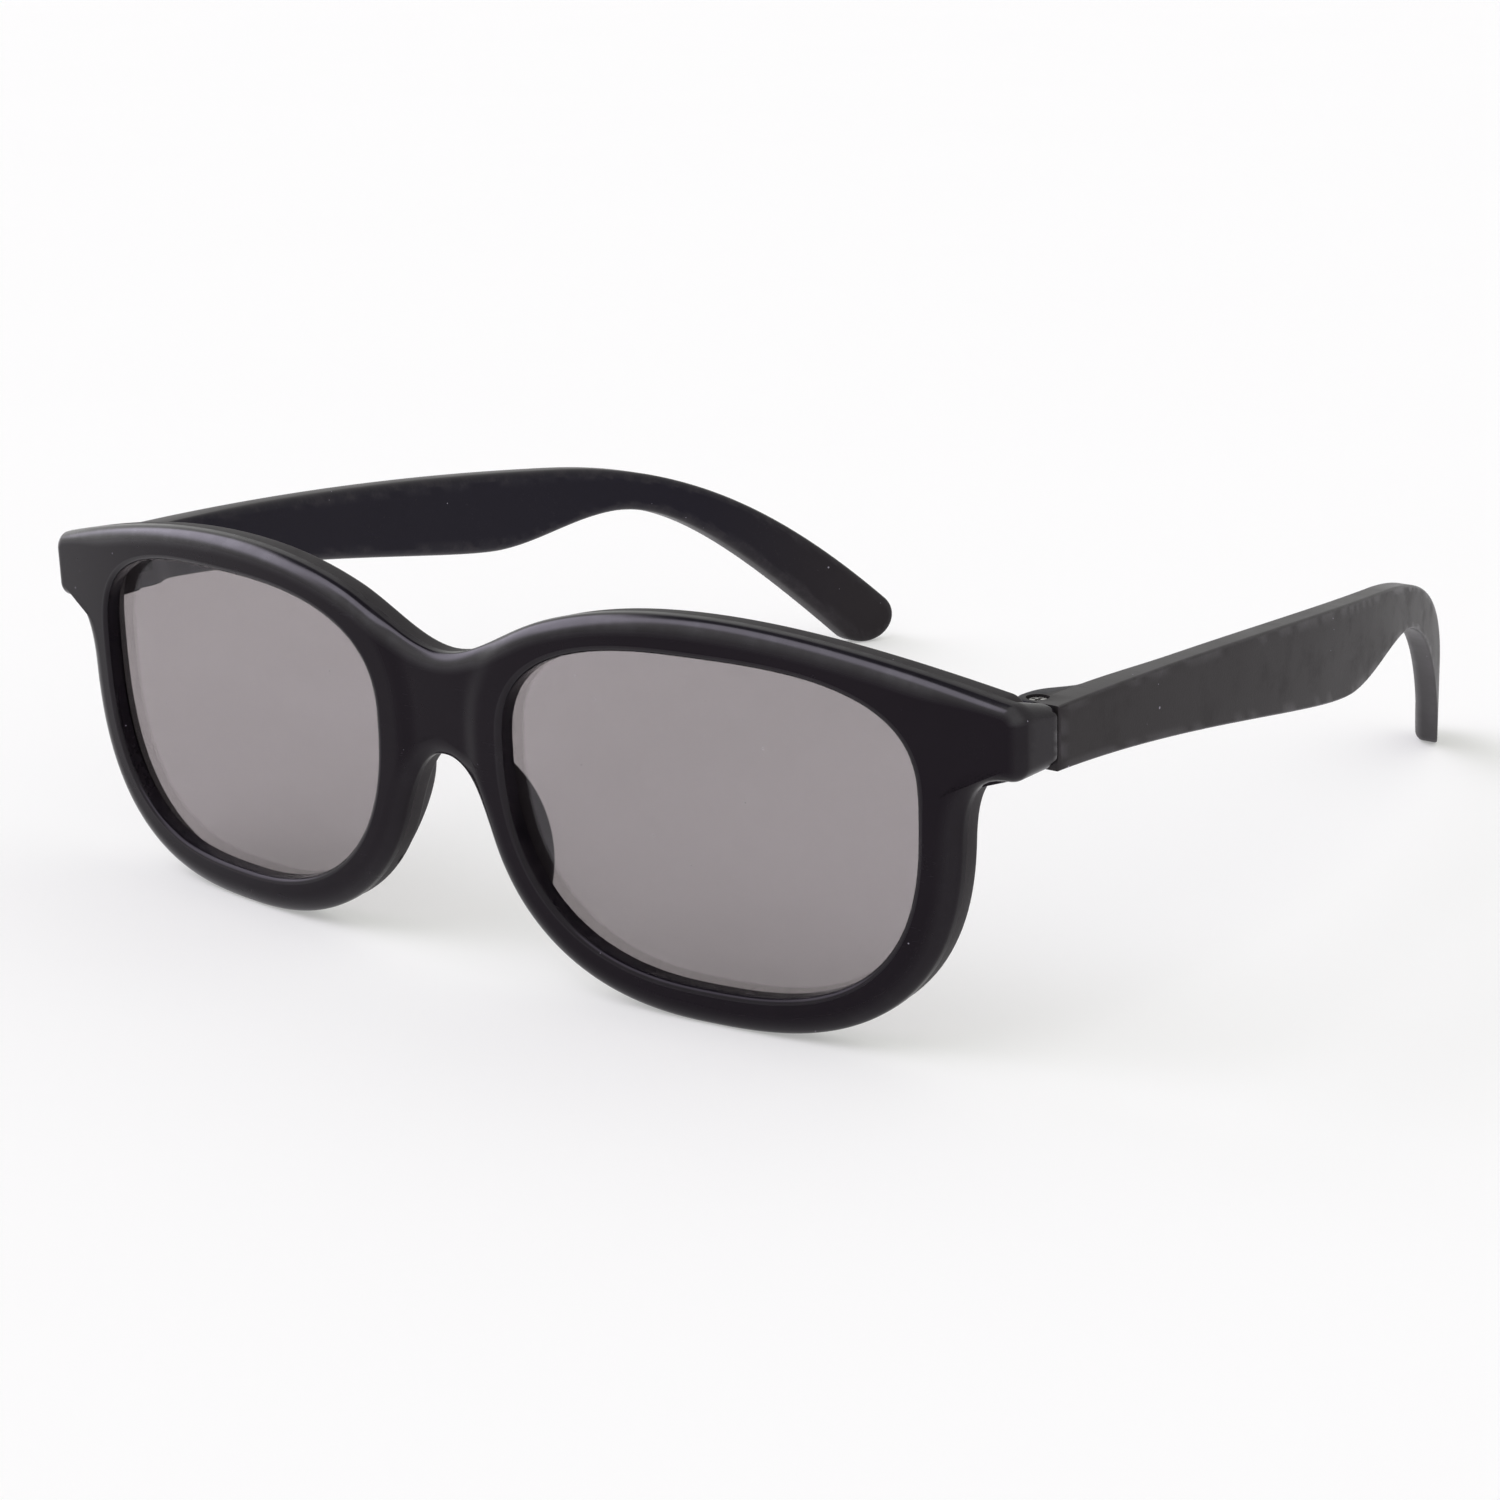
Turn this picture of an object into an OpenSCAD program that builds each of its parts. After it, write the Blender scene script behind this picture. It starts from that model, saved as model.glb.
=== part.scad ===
// Passive 3-D glasses: a front of two shells, laminated lenses and folding temples.
// X runs across the face, Y back along the temples, Z up. The open glasses stand on the rims
// and the ear tips at Z = 0. The modules draw the front upright and measure Y from its foremost
// line, and placed() leans and moves them so that the origin lies under the middle of the glasses.

/* [Front] */
// Radius of the bow of the front, seen from above
bow_r = 320; // [240:10:600]
// Depth of the front shell
face_d = 2.2; // [2:0.1:2.8]
// Depth of the rear shell
back_d = 2.6; // [2.2:0.1:3.4]
// Radius of the front shell's rounded outer edge
edge_r = 1.5; // [0.6:0.1:1.7]
// Radius of the rounded lip round each lens opening
lip_r = 0.7; // [0.3:0.1:1]
// Radius of the rear shell's back edge
back_edge_r = 0.7; // [0.3:0.1:1]
// Width of the rim round each lens opening
rim_w = 4.3; // [3.9:0.1:5]
// Step of the rear shell inside the front shell's outline
seam_step = 0.2; // [0.1:0.05:0.4]
// Weld gap between the two shells
seam_gap = 0.05; // [0.02:0.01:0.1]

/* [Lens openings] */
// Width of each opening
open_w = 52.2; // [49:0.2:54]
// Height of each opening
open_h = 37.2; // [34:0.2:40]
// Distance between the two openings
open_gap = 19.2; // [17:0.2:22]
// Height of the widest level above the middle of an opening
open_wide = 5; // [2:0.5:7]
// Squareness of the upper corner by the temple
square_upper_outer = 2.9; // [2.2:0.1:3.4]
// Squareness of the upper corner by the nose
square_upper_inner = 2.6; // [2.2:0.1:3.2]
// Squareness of the lower corner by the temple
square_lower_outer = 2.8; // [2.2:0.1:3.2]
// Squareness of the lower corner by the nose
square_lower_inner = 2.4; // [2.1:0.1:2.8]

/* [Lenses] */
// Width of the land that holds the lens's edge
lens_land = 1.5; // [1:0.1:1.8]
// Clearance between the lens's edge and its pocket
lens_clear = 0.08; // [0.04:0.02:0.2]
// Thickness of the retarder film in front
retarder_t = 0.2; // [0.15:0.05:0.4]
// Thickness of the polariser film in the middle
polariser_t = 0.2; // [0.15:0.05:0.4]
// Thickness of the clear backing sheet
backing_t = 0.4; // [0.3:0.05:0.6]

/* [Bridge] */
// Drop of the bridge's top below the crest of the rims
bridge_drop = 8.6; // [7:0.2:10]
// Height of the bridge from its underside to its top
bridge_h = 12; // [10:0.2:14]

/* [Nose fins] */
// Length of a fin along the rim
fin_l = 16; // [12:0.5:20]
// Reach of a fin behind the rear shell
fin_reach = 2.7; // [2:0.1:4]
// Thickness of a fin
fin_t = 2; // [1.6:0.1:2.6]
// Splay of a fin away from the nose
fin_splay = 10; // [4:1:20]

/* [Endpieces] */
// Reach of an endpiece beyond the rim
end_reach = 7.1; // [6.5:0.1:9]
// Drop of an endpiece's top below the crest of the rims
end_drop = 5.8; // [4.8:0.2:6.6]
// Height of an endpiece at its outer end
end_h = 7.8; // [7.2:0.2:8.8]
// Corner radius of an endpiece
end_r = 1.7; // [1.7:0.1:2.4]
// Depth of an endpiece from the front face back to the joint
end_d = 6.8; // [6:0.2:8]
// Thickness of the side flange that hides the hinge
flange_t = 1.6; // [1.2:0.1:2]

/* [Hinges] */
// Gap between an endpiece and its temple
joint_gap = 0.3; // [0.2:0.05:0.5]
// Distance of the screw behind the temple's front end
hinge_back = 1.9; // [1.7:0.1:2.4]
// Distance of the screw inside the temple's outer face
hinge_in = 3.9; // [3.7:0.1:4.6]
// Radius of the knuckles
knuckle_r = 2.2; // [2:0.1:2.5]
// Height of the tongue between the knuckles
tongue_h = 2.8; // [2.2:0.1:3]
// Clearance above and below the tongue
tongue_clear = 0.12; // [0.08:0.02:0.2]
// Diameter of the hinge screw's shank
screw_d = 1.4; // [1.2:0.1:1.6]
// Diameter of the hinge screw's head
screw_head_d = 2.3; // [2:0.1:2.5]
// Height of the hinge screw's head
screw_head_h = 0.6; // [0.4:0.1:0.8]
// Depth of the sunk head below the top knuckle
screw_sink = 0.35; // [0.2:0.05:0.5]
// Running clearance round the screw, in radius
screw_clear = 0.04; // [0.02:0.01:0.08]

/* [Temples] */
// Length of a temple from the joint to the end of the ear tip
temple_l = 134.6; // [128:0.2:142]
// Thickness of a temple
temple_t = 3.4; // [3:0.1:4]
// Height of a temple at the joint
temple_h = 7; // [6.6:0.1:7.6]
// Drop of a temple's top below the endpiece's top
temple_drop = 1.1; // [0.7:0.1:1.5]
// Distance of the lobe's lowest point behind the joint
lobe_pos = 69.8; // [62:0.2:74]
// Drop of the lobe's lowest point below the underside at the joint
lobe_drop = 9.6; // [8.5:0.1:11]
// Distance of the ear arch's crest behind the joint
arch_pos = 89.2; // [84:0.2:94]
// Drop of the ear arch's crest below the underside at the joint
arch_drop = 7.5; // [6:0.1:8.4]
// Height of the slim neck above the arch's crest
neck_h = 6.2; // [5.6:0.1:7.4]
// Width of the ear tip's paddle
tip_w = 8; // [6.5:0.1:9]
// Drop of the ear tips below the rims, which makes the standing front lean forward
tip_drop = 3; // [1:0.1:5]
// Inward curve of the temple at the end of the ear tip
toe_in = 25; // [14:0.5:30]
// Radius of a temple's soft inner edges
inner_edge_r = 1.2; // [0.6:0.1:1.4]
// Chamfer of a temple's crisp outer edges
outer_edge = 0.35; // [0.2:0.05:0.6]

/* [Locating pegs] */
// Diameter of the pegs that locate the two shells
peg_d = 1.5; // [1.2:0.1:1.6]
// Length of the pegs
peg_l = 1; // [0.7:0.1:1.1]
// Clearance round and before a peg
peg_clear = 0.05; // [0.03:0.01:0.1]

/* [Hidden] */
$fn = 48;

front_h = open_h + 2 * rim_w;
front_d = face_d + back_d;
half_w = open_gap / 2 + open_w + rim_w + end_reach;
open_x = (open_gap + open_w) / 2;
open_z = rim_w + open_h / 2 + open_wide;
open_steps = 24;
lens_t = retarder_t + polariser_t + backing_t;
pocket_d = face_d + lens_t + seam_gap;
rear_open_step = 0.75 * lens_land;
joint_y = bow_y(half_w, 0) + end_d;
temple_y = joint_y + joint_gap;
bridge_z = front_h - bridge_drop - bridge_h;
end_top = front_h - end_drop;
end_z = end_top - end_h;
hinge_x = half_w - hinge_in;
hinge_y = temple_y + hinge_back;
temple_top = end_top - temple_drop;
temple_z = temple_top - temple_h;
tongue_z = temple_z + (temple_h - tongue_h) / 2;
slot_z = tongue_z - tongue_clear;
slot_h = tongue_h + 2 * tongue_clear;
head_z = temple_top - screw_sink - screw_head_h;
head_clear = 0.1;
cross_l = 1.5;
cross_w = 0.35;
cross_d = 0.35;
pegs = [[open_gap / 4, bridge_z + bridge_h / 2], [half_w - flange_t - 2 * peg_d, end_z + end_h / 2]];
tall = 2 * front_h;
cut = 1;
round_steps = 4;
turn = [for (i = [0:5]) 90 * i / 5];
gloss = [0.07, 0.07, 0.085];
matt = [0.16, 0.155, 0.16];
steel = [0.75, 0.75, 0.77];
retarder_tint = [0.62, 0.6, 0.58, 0.5];
polariser_tint = [0.35, 0.34, 0.34, 0.6];
backing_tint = [0.8, 0.8, 0.8, 0.4];

// Depth line of the bowed front: Y of the surface that lies d behind the front face
function bow_y(x, d) = bow_r - sqrt(pow(bow_r - d, 2) - x * x);

// Points along a cubic curve with four control points
function cubic(p, n) = [
  for (i = [0:n])
  let (t = i / n, s = 1 - t)
  s * s * s * p[0] + 3 * s * s * t * p[1] + 3 * s * t * t * p[2] + t * t * t * p[3]
];
function tail(list) = [for (i = [1:len(list) - 1]) list[i]];
function reversed(list) = [for (i = [len(list) - 1:-1:0]) list[i]];
function flipped(list) = [for (p = list) [-p.x, p.y]];
function unit(v) = v / norm(v);

// A clockwise ring moved inward by e along its own normals
function inset(ring, e) = [
  for (i = [0:len(ring) - 1])
  let (n = len(ring), t = unit(ring[(i + 1) % n] - ring[(i + n - 1) % n]))
  ring[i] + e * [t.y, -t.x]
];

// Inset and depth pairs of a quarter round that starts on the face
function quarter_round(r, n) = [for (i = [0:n]) [r * (1 - sin(90 * i / n)), r * (1 - cos(90 * i / n))]];

// Lens opening: four quarter curves, squarer than an ellipse, joined at the widest level
function squareness(a) = sin(a) > 0
  ? (cos(a) > 0 ? square_upper_outer : square_upper_inner)
  : (cos(a) > 0 ? square_lower_outer : square_lower_inner);
function open_pt(a) =
  let (
    n = squareness(a),
    r = pow(pow(abs(cos(a)), n) + pow(abs(sin(a)), n), -1 / n),
    h = open_h / 2 - sign(sin(a)) * open_wide
  )
  [open_x + r * cos(a) * open_w / 2, open_z + r * sin(a) * h];
open_half = [for (i = [0:open_steps - 1]) 180 - (i + 0.5) * 180 / open_steps];
open_ring = concat([for (a = open_half) open_pt(a)], [for (a = reversed(open_half)) open_pt(-a)]);

// Outer edge of the rim, one rim width outside the opening
function rim_dir(a) = unit(open_pt(a + 0.5) - open_pt(a - 0.5));
function rim_pt(a) = open_pt(a) + rim_w * [rim_dir(a).y, -rim_dir(a).x];

// Underside of the front from the middle to the side: bridge arch, rim, fillet, endpiece
nasal_a = -156;
outer_a = -8;
rim_steps = 23;
arch_w = 3.6;
arch_reach = 5;
fillet = [half_w - 2.8, end_z];
fillet_reach = 5;
fillet_lead = [-3.2, -0.3];
nasal_pt = rim_pt(nasal_a);
outer_pt = rim_pt(outer_a);
under = concat(
  cubic([[0, bridge_z], [arch_w, bridge_z], nasal_pt - arch_reach * rim_dir(nasal_a), nasal_pt], 7),
  tail([for (i = [0:rim_steps]) rim_pt(nasal_a + (outer_a - nasal_a) * i / rim_steps)]),
  tail(cubic([outer_pt, outer_pt + fillet_reach * rim_dir(outer_a), fillet + fillet_lead, fillet], 6))
);

// Top of the front from the middle to the side: bridge, crest over the lens, endpiece
bridge_top = [0, bridge_z + bridge_h];
bridge_lead = [5, 0];
brow = [open_gap / 2 + 5.2, front_h - 3.1];
brow_in = [-5.3, -1.8];
brow_out = [6.2, 2.1];
crest = [open_x, front_h];
crest_in = [-8, 0];
crest_out = [12, 0];
end_corner = [half_w, end_top];
end_lead = [-13, 3.4];
over = concat(
  cubic([bridge_top, bridge_top + bridge_lead, brow + brow_in, brow], 10),
  tail(cubic([brow, brow + brow_out, crest + crest_in, crest], 10)),
  tail(cubic([crest, crest + crest_out, end_corner + end_lead, end_corner], 14))
);

// Corner rounding of the endpieces: height lost at x when the side face lies at side
function corner(x, side) =
  x > side - end_r ? end_r - sqrt(max(0, end_r * end_r - pow(x - side + end_r, 2))) : 0;
min_step = 0.2;

// Ring of the front's outline whose endpieces stop at side
function front_ring(side) =
  let (
    kept = [for (p = under) if (p.x < side - end_r - min_step) p],
    low = concat(kept, [for (a = turn) [side - end_r + end_r * sin(a), end_z]]),
    bottom = [for (p = low) [p.x, p.y + corner(p.x, side)]],
    top = [for (p = low) [p.x, lookup(p.x, over) - corner(p.x, side)]]
  )
  concat(flipped(reversed(tail(top))), top, reversed(bottom), flipped(tail(bottom)));

// Plate skinned through insets of one outline. Each layer is [inset, depth], and put(u, v, d)
// gives the point in space. The ring's first half runs along the top, its second half back below.
module plate(ring, layers, put) {
  n = len(ring);
  rows = len(layers);
  points = [for (l = layers) each [for (p = inset(ring, l[0])) put(p.x, p.y, l[1])]];
  sides = [
    for (j = [0:rows - 2], i = [0:n - 1])
    let (a = j * n + i, b = j * n + (i + 1) % n)
    each [[a, b + n, b], [a, a + n, b + n]]
  ];
  front = [
    for (i = [0:n / 2 - 2])
    each [[i, n - 2 - i, n - 1 - i], [i, i + 1, n - 2 - i]]
  ];
  back = [for (f = front) [for (k = [2, 1, 0]) f[k] + (rows - 1) * n]];
  polyhedron(points, concat(sides, front, back));
}
on_front = function(u, v, d) [u, bow_y(u, d), v];

// Prism through the front with the given outline in X and Z
module through(outline) {
  translate([0, bow_r / 4, 0])
    rotate([90, 0, 0])
      linear_extrude(bow_r / 2)
        polygon(outline);
}

// Slab of the bowed front between two depths
module bow_slab(d0, d1) {
  translate([0, bow_r, -tall / 2])
    difference() {
      cylinder(h = 2 * tall, r = bow_r - d0, $fn = 360);
      translate([0, 0, -cut])
        cylinder(h = 2 * (tall + cut), r = bow_r - d1, $fn = 360);
    }
}

// Sheet of a lens or its pocket between two depths
module lens_sheet(grow, d0, d1) {
  intersection() {
    bow_slab(d0, d1);
    through(inset(open_ring, -grow));
  }
}
module both_sides() {
  children();
  mirror([1, 0, 0]) children();
}

// Flange of the front shell along the side of an endpiece: the end of the outline drawn back
// to the joint, with its back corners rounded
flange_r = 1.1;
module flange() {
  front = bow_y(half_w, face_d / 2);
  top = lookup(half_w - flange_t, over);
  back = joint_y - flange_r;
  end = [for (p = front_ring(half_w)) if (p.x > half_w - 2 * end_r) p];
  upper = [for (a = turn) [back + flange_r * sin(a), top - flange_r * (1 - cos(a))]];
  lower = [for (a = turn) [back + flange_r * sin(a), end_z + flange_r * (1 - cos(a))]];
  intersection() {
    translate([0, joint_y, 0])
      rotate([90, 0, 0])
        linear_extrude(joint_y - front)
          polygon(end);
    translate([half_w - flange_t, 0, 0])
      rotate([90, 0, 90])
        linear_extrude(2 * flange_t)
          polygon(concat([[front, top]], upper, reversed(lower), [[front, end_z]]));
  }
}

module peg_holes(grow, depth) {
  both_sides()
    for (p = pegs)
      translate([p.x, bow_y(p.x, face_d) + cut, p.y])
        rotate([90, 0, 0])
          cylinder(h = depth + cut, d = peg_d + 2 * grow);
}

module front_shell() {
  color(gloss)
    difference() {
      union() {
        plate(front_ring(half_w),
          concat(quarter_round(edge_r, round_steps), [[0, face_d - seam_gap]]), on_front);
        both_sides() flange();
      }
      both_sides()
        plate(open_ring,
          concat([[-2 * lip_r, -lip_r]],
            [for (l = quarter_round(lip_r, 3)) [-l[0], l[1]]], [[0, 2 * face_d]]),
          on_front);
      peg_holes(peg_clear, peg_l + peg_clear);
    }
}

// Nose fin: a segment of a round-edged disc that leans away from the nose. Its line runs from
// the bridge's end of the rim to the middle of the rim's width.
fin_a = [-171, -144];
fin_out = [0.84, 0.64];
fin_root = 1;
module nose_fin() {
  ends = [
    for (i = [0, 1])
    let (run = rim_dir(fin_a[i]))
    open_pt(fin_a[i]) + fin_out[i] * rim_w * [run.y, -run.x]
  ];
  mid = (ends[0] + ends[1]) / 2;
  along = ends[1] - ends[0];
  disc_r = (pow(fin_l / 2, 2) + pow(fin_reach, 2)) / (2 * fin_reach);
  translate([mid.x, bow_y(mid.x, front_d), mid.y])
    rotate([0, -atan2(along.y, along.x), 0])
      rotate([fin_splay, 0, 0])
        intersection() {
          translate([0, fin_reach - disc_r, 0])
            rotate_extrude() {
              translate([0, -fin_t / 2]) square([disc_r - fin_t / 2, fin_t]);
              translate([disc_r - fin_t / 2, 0]) circle(d = fin_t);
            }
          translate([-fin_l, -fin_root, -fin_t])
            cube([2 * fin_l, fin_root + 2 * fin_reach, 2 * fin_t]);
        }
}

// Block behind an endpiece and the hinge tongue that it carries
block_w = 6.5;
neck_w = 3;
module tongue() {
  side = half_w - flange_t - 2 * seam_gap;
  front = bow_y(side, face_d + back_edge_r / 2);
  back = hinge_y - knuckle_r - joint_gap;
  translate([side - block_w, front, end_z + seam_step])
    cube([block_w, back - front, end_h - 2 * seam_step]);
  translate([hinge_x, hinge_y, tongue_z])
    cylinder(h = tongue_h, r = knuckle_r - joint_gap / 2);
  translate([hinge_x - neck_w / 2, back - joint_gap, tongue_z])
    cube([neck_w, hinge_y - back + joint_gap, tongue_h]);
}

module rear_shell() {
  color(matt)
    difference() {
      union() {
        difference() {
          plate(front_ring(half_w - flange_t - 2 * seam_gap),
            concat([[seam_step, face_d]],
              [for (l = reversed(quarter_round(back_edge_r, 3))) [seam_step + l[0], front_d - l[1]]]),
            on_front);
          both_sides() through(inset(open_ring, -rear_open_step));
        }
        both_sides() {
          nose_fin();
          tongue();
        }
        peg_holes(0, peg_l);
      }
      both_sides() {
        lens_sheet(lens_land + lens_clear, face_d - cut, pocket_d);
        translate([hinge_x, hinge_y, tongue_z - cut])
          cylinder(h = tongue_h + 2 * cut, d = screw_d + 2 * screw_clear);
      }
    }
}

module retarder_film() {
  color(retarder_tint)
    lens_sheet(lens_land, face_d, face_d + retarder_t);
}

module polariser_film() {
  color(polariser_tint)
    lens_sheet(lens_land, face_d + retarder_t, face_d + retarder_t + polariser_t);
}

module backing_sheet() {
  color(backing_tint)
    lens_sheet(lens_land, face_d + retarder_t + polariser_t, face_d + lens_t);
}

// Temple outline in Y and Z, measured back from the joint. The ear piece slopes into a round tip.
tip_slope = 47;
tip_cut = 5;
tip_dir = [cos(tip_slope), -sin(tip_slope)];
tip_c = [temple_l - tip_w / 2, tip_w / 2 - tip_drop];
function tip_pt(a) = tip_c + tip_w / 2 * [cos(a), sin(a)];
root_low = [0, temple_z];
root_low_out = [30, -1.5];
lobe = [lobe_pos, temple_z - lobe_drop];
lobe_in = [-9.4, 0];
lobe_out = [7, 0];
arch = [arch_pos, temple_z - arch_drop];
arch_in = [-7, 0];
arch_out = [10.5, 0];
tip_low = tip_pt(270 - tip_slope);
tip_pull = 23.5;
temple_under = concat(
  cubic([root_low, root_low + root_low_out, lobe + lobe_in, lobe], 8),
  tail(cubic([lobe, lobe + lobe_out, arch + arch_in, arch], 6)),
  tail(cubic([arch, arch + arch_out, tip_low - tip_pull * tip_dir, tip_low], 12)),
  tail([for (i = [0:8]) tip_pt(270 - tip_slope + i * (90 + tip_slope - tip_cut) / 8)])
);
root_high = [0, temple_top];
root_high_out = [28, -0.6];
neck = arch + [-9, neck_h + 1.7];
neck_in = [-24, 3.2];
neck_out = [22, -2.9];
tip_high = tip_pt(90 - tip_slope);
temple_over = concat(
  cubic([root_high, root_high + root_high_out, neck + neck_in, neck], 12),
  tail(cubic([neck, neck + neck_out, tip_high - tip_pull * tip_dir, tip_high], 16)),
  tail([for (i = [0:8]) tip_pt((90 - tip_slope) * (1 - i / 8))])
);
temple_ring = concat([for (p = temple_under) [p.x, lookup(p.x, temple_over)]], reversed(temple_under));
function temple_x(s) = half_w - toe_in * pow(max(0, s) / temple_l, 3);

// Knuckle profile in plan: the barrel and its blend into the temple's inner face
boss_l = 11;
boss_bite = 1;
module knuckle_plan() {
  inner = half_w - temple_t;
  start = [hinge_x - knuckle_r, hinge_y];
  end = [inner + boss_bite, hinge_y + boss_l];
  blend = cubic([start, start + [0, boss_l / 2], [inner, hinge_y + boss_l / 3], end], 10);
  translate([hinge_x, hinge_y]) circle(r = knuckle_r);
  polygon(concat([[end.x, start.y]], blend));
}

// Room in plan for the tongue and its neck over the whole fold
module slot_plan() {
  reach = neck_w / 2 + joint_gap;
  back = hinge_back + cut;
  side = knuckle_r + cut;
  translate([hinge_x, hinge_y]) {
    circle(r = knuckle_r + joint_gap / 2);
    translate([-side, -back]) square([side + reach, back]);
    translate([-side, -back]) square([side, back + reach]);
  }
}

module temple() {
  color(matt)
    difference() {
      union() {
        plate(temple_ring,
          concat([[outer_edge, 0], [0, outer_edge]],
            [for (l = reversed(quarter_round(inner_edge_r, 3))) [l[0], temple_t - l[1]]]),
          function(u, v, d) [temple_x(u) - d, temple_y + u, v]);
        translate([0, 0, temple_z])
          linear_extrude(temple_h)
            knuckle_plan();
      }
      translate([0, 0, slot_z])
        linear_extrude(slot_h)
          slot_plan();
      translate([hinge_x, hinge_y, 0]) {
        translate([0, 0, temple_z - cut])
          cylinder(h = temple_h + 2 * cut, d = screw_d + 2 * screw_clear);
        translate([0, 0, head_z])
          cylinder(h = tall, d = screw_head_d + 2 * head_clear);
      }
    }
}

module hinge_screw() {
  color(steel)
    translate([hinge_x, hinge_y, head_z])
      difference() {
        union() {
          cylinder(h = screw_head_h, d = screw_head_d);
          translate([0, 0, temple_z + screw_sink - head_z])
            cylinder(h = head_z - temple_z - screw_sink, d = screw_d);
        }
        for (a = [0, 90])
          rotate([0, 0, a])
            translate([-cross_l / 2, -cross_w / 2, screw_head_h - cross_d])
              cube([cross_l, cross_w, screw_head_h]);
      }
}

// Lean of the front as the glasses stand on the rims and the lower ear tips
rim_foot = bow_y(open_x, edge_r);
lean = atan2(tip_drop, temple_y + tip_c.x - rim_foot);
foremost = -(bridge_top.y - edge_r) * sin(lean);
rearmost = (temple_y + tip_c.x) * cos(lean) - tip_c.y * sin(lean) + tip_w / 2;
module placed() {
  translate([0, -(foremost + rearmost) / 2, -rim_foot * sin(lean)])
    rotate([lean, 0, 0])
      children();
}
module placed_right() {
  placed() mirror([1, 0, 0]) children();
}

placed() front_shell();
placed() rear_shell();
placed() retarder_film();  // left_retarder_film
placed() polariser_film();  // left_polariser_film
placed() backing_sheet();  // left_backing_sheet
placed_right() retarder_film();  // right_retarder_film
placed_right() polariser_film();  // right_polariser_film
placed_right() backing_sheet();  // right_backing_sheet
placed() temple();  // left_temple
placed_right() temple();  // right_temple
placed() hinge_screw();  // left_hinge_screw
placed_right() hinge_screw();  // right_hinge_screw
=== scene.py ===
"""Passive 3-D glasses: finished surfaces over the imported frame.

Lengths inside the classes are in millimetres, and meshes are written in metres. X runs across
the face, Y back along the temples and Z up. The wearer's left side lies at +X.
"""

import logging
import math
from dataclasses import dataclass, field
from enum import Enum
from typing import Any, Sequence

import bmesh
import bpy
import numpy as np
from mathutils import Matrix, Vector


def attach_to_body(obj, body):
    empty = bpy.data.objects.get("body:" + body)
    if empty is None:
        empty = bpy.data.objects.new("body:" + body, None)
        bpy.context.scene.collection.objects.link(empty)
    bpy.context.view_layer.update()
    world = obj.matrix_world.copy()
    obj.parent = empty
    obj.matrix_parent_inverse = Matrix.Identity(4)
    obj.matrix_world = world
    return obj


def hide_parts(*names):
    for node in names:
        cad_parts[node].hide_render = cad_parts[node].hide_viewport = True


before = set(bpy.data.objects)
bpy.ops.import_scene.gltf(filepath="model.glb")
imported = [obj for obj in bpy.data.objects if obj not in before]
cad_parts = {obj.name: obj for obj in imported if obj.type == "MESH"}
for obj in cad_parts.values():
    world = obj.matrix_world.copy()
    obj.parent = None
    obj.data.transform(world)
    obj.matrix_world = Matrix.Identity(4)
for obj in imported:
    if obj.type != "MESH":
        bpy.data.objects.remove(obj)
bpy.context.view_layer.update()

LOG = logging.getLogger("glasses")
MM = 0.001
WELD = 0.002
SMOOTH_ANGLE = math.radians(34.0)

Point = tuple[float, float]
Triple = tuple[float, float, float]
Rgb = Triple
Array = np.ndarray
Obj = bpy.types.Object
Socket = bpy.types.NodeSocket
Material = bpy.types.Material


class Side(Enum):
    """The wearer's side that a piece belongs to."""

    LEFT = "left"
    RIGHT = "right"


class Layer(Enum):
    """A sheet of the laminated lens, with the node that it stands for."""

    RETARDER = "retarder_film"
    POLARISER = "polariser_film"
    BACKING = "backing_sheet"


class Value:
    """A number socket on which Python arithmetic adds Math nodes."""

    def __init__(self, graph: "Graph", socket: Socket) -> None:
        """Hold the socket and the graph that owns it."""
        self.graph = graph
        self.socket = socket

    def math(self, operation: str, *operands: "Value | float") -> "Value":
        """Add a Math node.

        Args:
            operation: Blender's name of the operation.
            operands: The node's inputs in order.

        Returns:
            The node's result.
        """
        inputs = dict(enumerate(operands))
        node = self.graph.node("ShaderNodeMath", inputs, operation=operation)
        return Value(self.graph, node.outputs[0])

    def __add__(self, other: "Value | float") -> "Value":
        """Sum of the two values."""
        return self.math("ADD", self, other)

    __radd__ = __add__

    def __sub__(self, other: "Value | float") -> "Value":
        """Difference of the two values."""
        return self.math("SUBTRACT", self, other)

    def __rsub__(self, other: float) -> "Value":
        """Difference from a plain number in front."""
        return self.math("SUBTRACT", other, self)

    def __mul__(self, other: "Value | float") -> "Value":
        """Product of the two values."""
        return self.math("MULTIPLY", self, other)

    __rmul__ = __mul__

    def __truediv__(self, other: "Value | float") -> "Value":
        """Quotient of the two values."""
        return self.math("DIVIDE", self, other)

    def root(self) -> "Value":
        """Square root of the value."""
        return self.math("SQRT", self)

    def at_least(self, other: "Value | float") -> "Value":
        """The larger of the two values."""
        return self.math("MAXIMUM", self, other)

    def size(self) -> "Value":
        """The value without its sign."""
        return self.math("ABSOLUTE", self)

    def rise(self, low: float, high: float) -> "Value":
        """Smooth step.

        Args:
            low: Value at which the step starts from 0.
            high: Value at which it reaches 1.

        Returns:
            The height of the step.
        """
        node = self.graph.node(
            "ShaderNodeMapRange",
            {"Value": self, "From Min": low, "From Max": high},
            interpolation_type="SMOOTHSTEP",
            clamp=True,
        )
        return Value(self.graph, node.outputs[0])


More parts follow.
